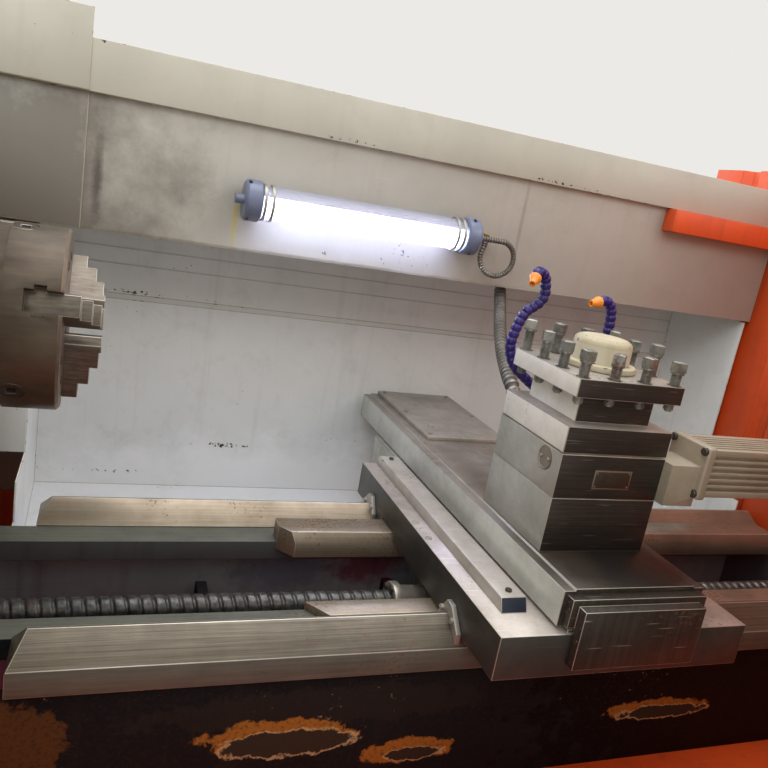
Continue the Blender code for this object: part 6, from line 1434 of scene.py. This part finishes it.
def makeOperatorBox():
    face, desk = operator["face"], operator["desk"]
    dress("screen", "screenGlass", width=0.0006, name="screenGlass")
    (x0, x1), (z0, z1) = operator["screen"]
    bezel = frameMesh((x0 - 0.001, x1 + 0.001), (z0 - 0.001, z1 + 0.001), -0.013, (face - 0.0045, face + 0.0002))
    bevelEdges(addPiece("screenBezel", bezel, "greyNylon", "base"), 0.0012)
    inner = frameMesh(
        (x0 + 0.0006, x1 - 0.0006), (z0 + 0.0006, z1 - 0.0006), 0.010, (face + 0.0005, face + 0.0016)
    )
    addPiece("screenMask", inner, "blackNylon", "base")
    # blank membrane keys: 6 columns, 9 rows, a space for the hand between the blocks
    key = hiddenSeed("panelKey", blockMesh((-0.0115, -0.0095, 0.0), (0.0115, 0.0095, 0.0030)), "keyPlastic")
    bevelSeed(key, 0.0012)
    (x0, x1), (z0, z1) = operator["keys"]
    blocks = {"Key": "keyPlastic", "Grey": "greyNylon", "Yellow": "yellowPlastic", "Green": "greenPlastic"}
    groups = {finish: [] for finish in blocks.values()}
    for row in range(9):
        for column in range(6):
            if row == 4 and column > 2:
                continue
            coloured = {(8, 0): "yellowPlastic", (8, 5): "yellowPlastic", (8, 2): "greenPlastic"}
            finish = "greyNylon" if row in (0, 1) else coloured.get((row, column), "keyPlastic")
            place = (x0 + 0.0225 + column * 0.030, operator["keyFloor"], z0 + 0.0195 + row * 0.0275)
            groups[finish].append((place, (0, -1, 0)))
    for block, finish in blocks.items():
        scatter(f"panelKeys{block}", groups[finish], key, finish, "base")
    soft = hiddenSeed("softKey", blockMesh((-0.0150, -0.0070, 0.0), (0.0150, 0.0070, 0.0034)), "greyNylon")
    bevelSeed(soft, 0.0012)
    scatter(
        "softKeys", gridOf([0.675 + 0.0383 * i for i in range(7)], face, 1.272, (0, -1, 0)), soft, "greyNylon",
        "base"
    )
    # lit push buttons with steel rings on the desk's upright face
    button = seedMesh(
        (
            (-0.0003, 0.0135), (0.0034, 0.0135), (0.0044, 0.0122), (0.0044, 0.0108), (0.0030, 0.0106),
            (0.0078, 0.0102), (0.0086, 0.0090), (0.0088, 0.0)
        ),
        28
    )
    button = hiddenSeed("pushButton", button, "greenPlastic", 40)
    for name, finish, x in (
        ("startButton", "greenPlastic", 0.680), ("holdButton", "redPlastic", 0.735),
        ("resetButton", "keyPlastic", 0.790), ("lightButton", "yellowPlastic", 0.845)
    ):
        scatter(
            name, [((x, desk, z), (0, -1, 0)) for z in ((1.158, 1.112) if x < 0.75 else (1.135,))], button,
            finish, "base"
        )
    collar = turnedMesh(
        (operator["stop"][0], desk - 0.0001, operator["stop"][1]), (0, -1, 0),
        ((0, 0.0208), (0, 0.0310), (0.0012, 0.0310), (0.0018, 0.0300), (0.0018, 0.0208)), 40, hollow=True
    )
    addPiece("stopCollar", collar, "yellowPlastic", "base")
    dress("emergency_stop", "redPlastic", width=0.0014)
    # the dial: knurled rim, finger dimple, and a graduated ring behind it
    x, z = operator["dial"]
    low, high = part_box("handwheel")
    sides, knurlDepth = 96, 0.0013
    mesh = bmesh.new()
    rings = []
    for depth, radius, knurl in (
        (high.y, 0.0355, 0), (high.y - 0.0010, 0.0366, 1), (low.y + 0.0020, 0.0366, 1),
        (low.y + 0.0004, 0.0345, 0), (low.y, 0.0330, 0), (low.y + 0.0008, 0.0290, 0), (low.y + 0.0008, 0.0, 0)
    ):
        ring = []
        for i in range(sides if radius else 1):
            angle = 2 * math.pi * i / sides
            r = radius + knurl * knurlDepth * (i % 2)
            ring.append(mesh.verts.new((x + r * math.cos(angle), depth, z + r * math.sin(angle))))
        rings.append(ring)
    centre = rings.pop()[0]
    joinRings(mesh, rings, closed=False)
    for i in range(sides):
        mesh.faces.new((rings[-1][i], rings[-1][(i + 1) % sides], centre))
    mesh.faces.new(rings[0])
    addPiece("handwheelDial", mesh, "blackNylon", "handwheel", ("handwheel",))
    dimple = turnedMesh(
        (x + 0.020, low.y + 0.0009, z + 0.008), (0, -1, 0),
        ((-0.0003, 0.0062), (0.0004, 0.0062), (0.0007, 0.0054), (0.0002, 0.0048), (-0.0001, 0.0)), 24
    )
    addPiece("dialDimple", dimple, "zincPlate", "handwheel", smooth=60)
    ring = turnedMesh(
        (x, desk - 0.0001, z), (0, -1, 0),
        ((0, 0.0200), (0, 0.0480), (0.0016, 0.0480), (0.0020, 0.0474), (0.0002, 0.0200)), 64, hollow=True
    )
    addPiece("dialRing", ring, "zincPlate", "base")
    ticks = bmesh.new()
    for i in range(50):
        angle = 2 * math.pi * i / 50
        outer, inner = 0.0468, 0.0468 - (0.0052 if i % 5 == 0 else 0.0032)
        side = Vector((-math.sin(angle), 0, math.cos(angle))) * 0.0003
        out = Vector((math.cos(angle), 0, math.sin(angle)))
        centre = Vector((x, desk - 0.0019, z))
        signs = ((outer, -1), (outer, 1), (inner, 1), (inner, -1))
        corners = [centre + out * reach + side * sign for reach, sign in signs]
        joinRings(ticks, [[ticks.verts.new(c + Vector((0, dy, 0))) for c in corners] for dy in (-0.0002, 0.0004)])
    addPiece("dialTicks", ticks, "blackNylon", "base", smooth=0)
    fasten(
        "operatorBoxScrews", "cap6", gridOf((0.634, 1.166), face, (1.270, 1.420, 1.586), (0, -1, 0)), "base",
        "zincPlate"
    )


makeCamera()
makeStudio()
finishes = makeFinishes()
trees = {"links": linkTree(), "winding": windingTree(), "scatter": scatterTree()}
fasteners = makeFasteners()
print("finishes and fasteners ready")
makeHoses()
makeConduits()
print("hoses and conduits made")
makeLamp()
makeTurret()
print("turret made")
makeCarriage()
makeScrews()
makeChuck()
print("carriage and chuck made")
makeBed()
makeEnclosure()
makeCabinet()
makeHeadstock()
makeStands()
makeOperatorBox()
print("bed and enclosure made")

bpy.context.scene.view_settings.view_transform = "Standard"
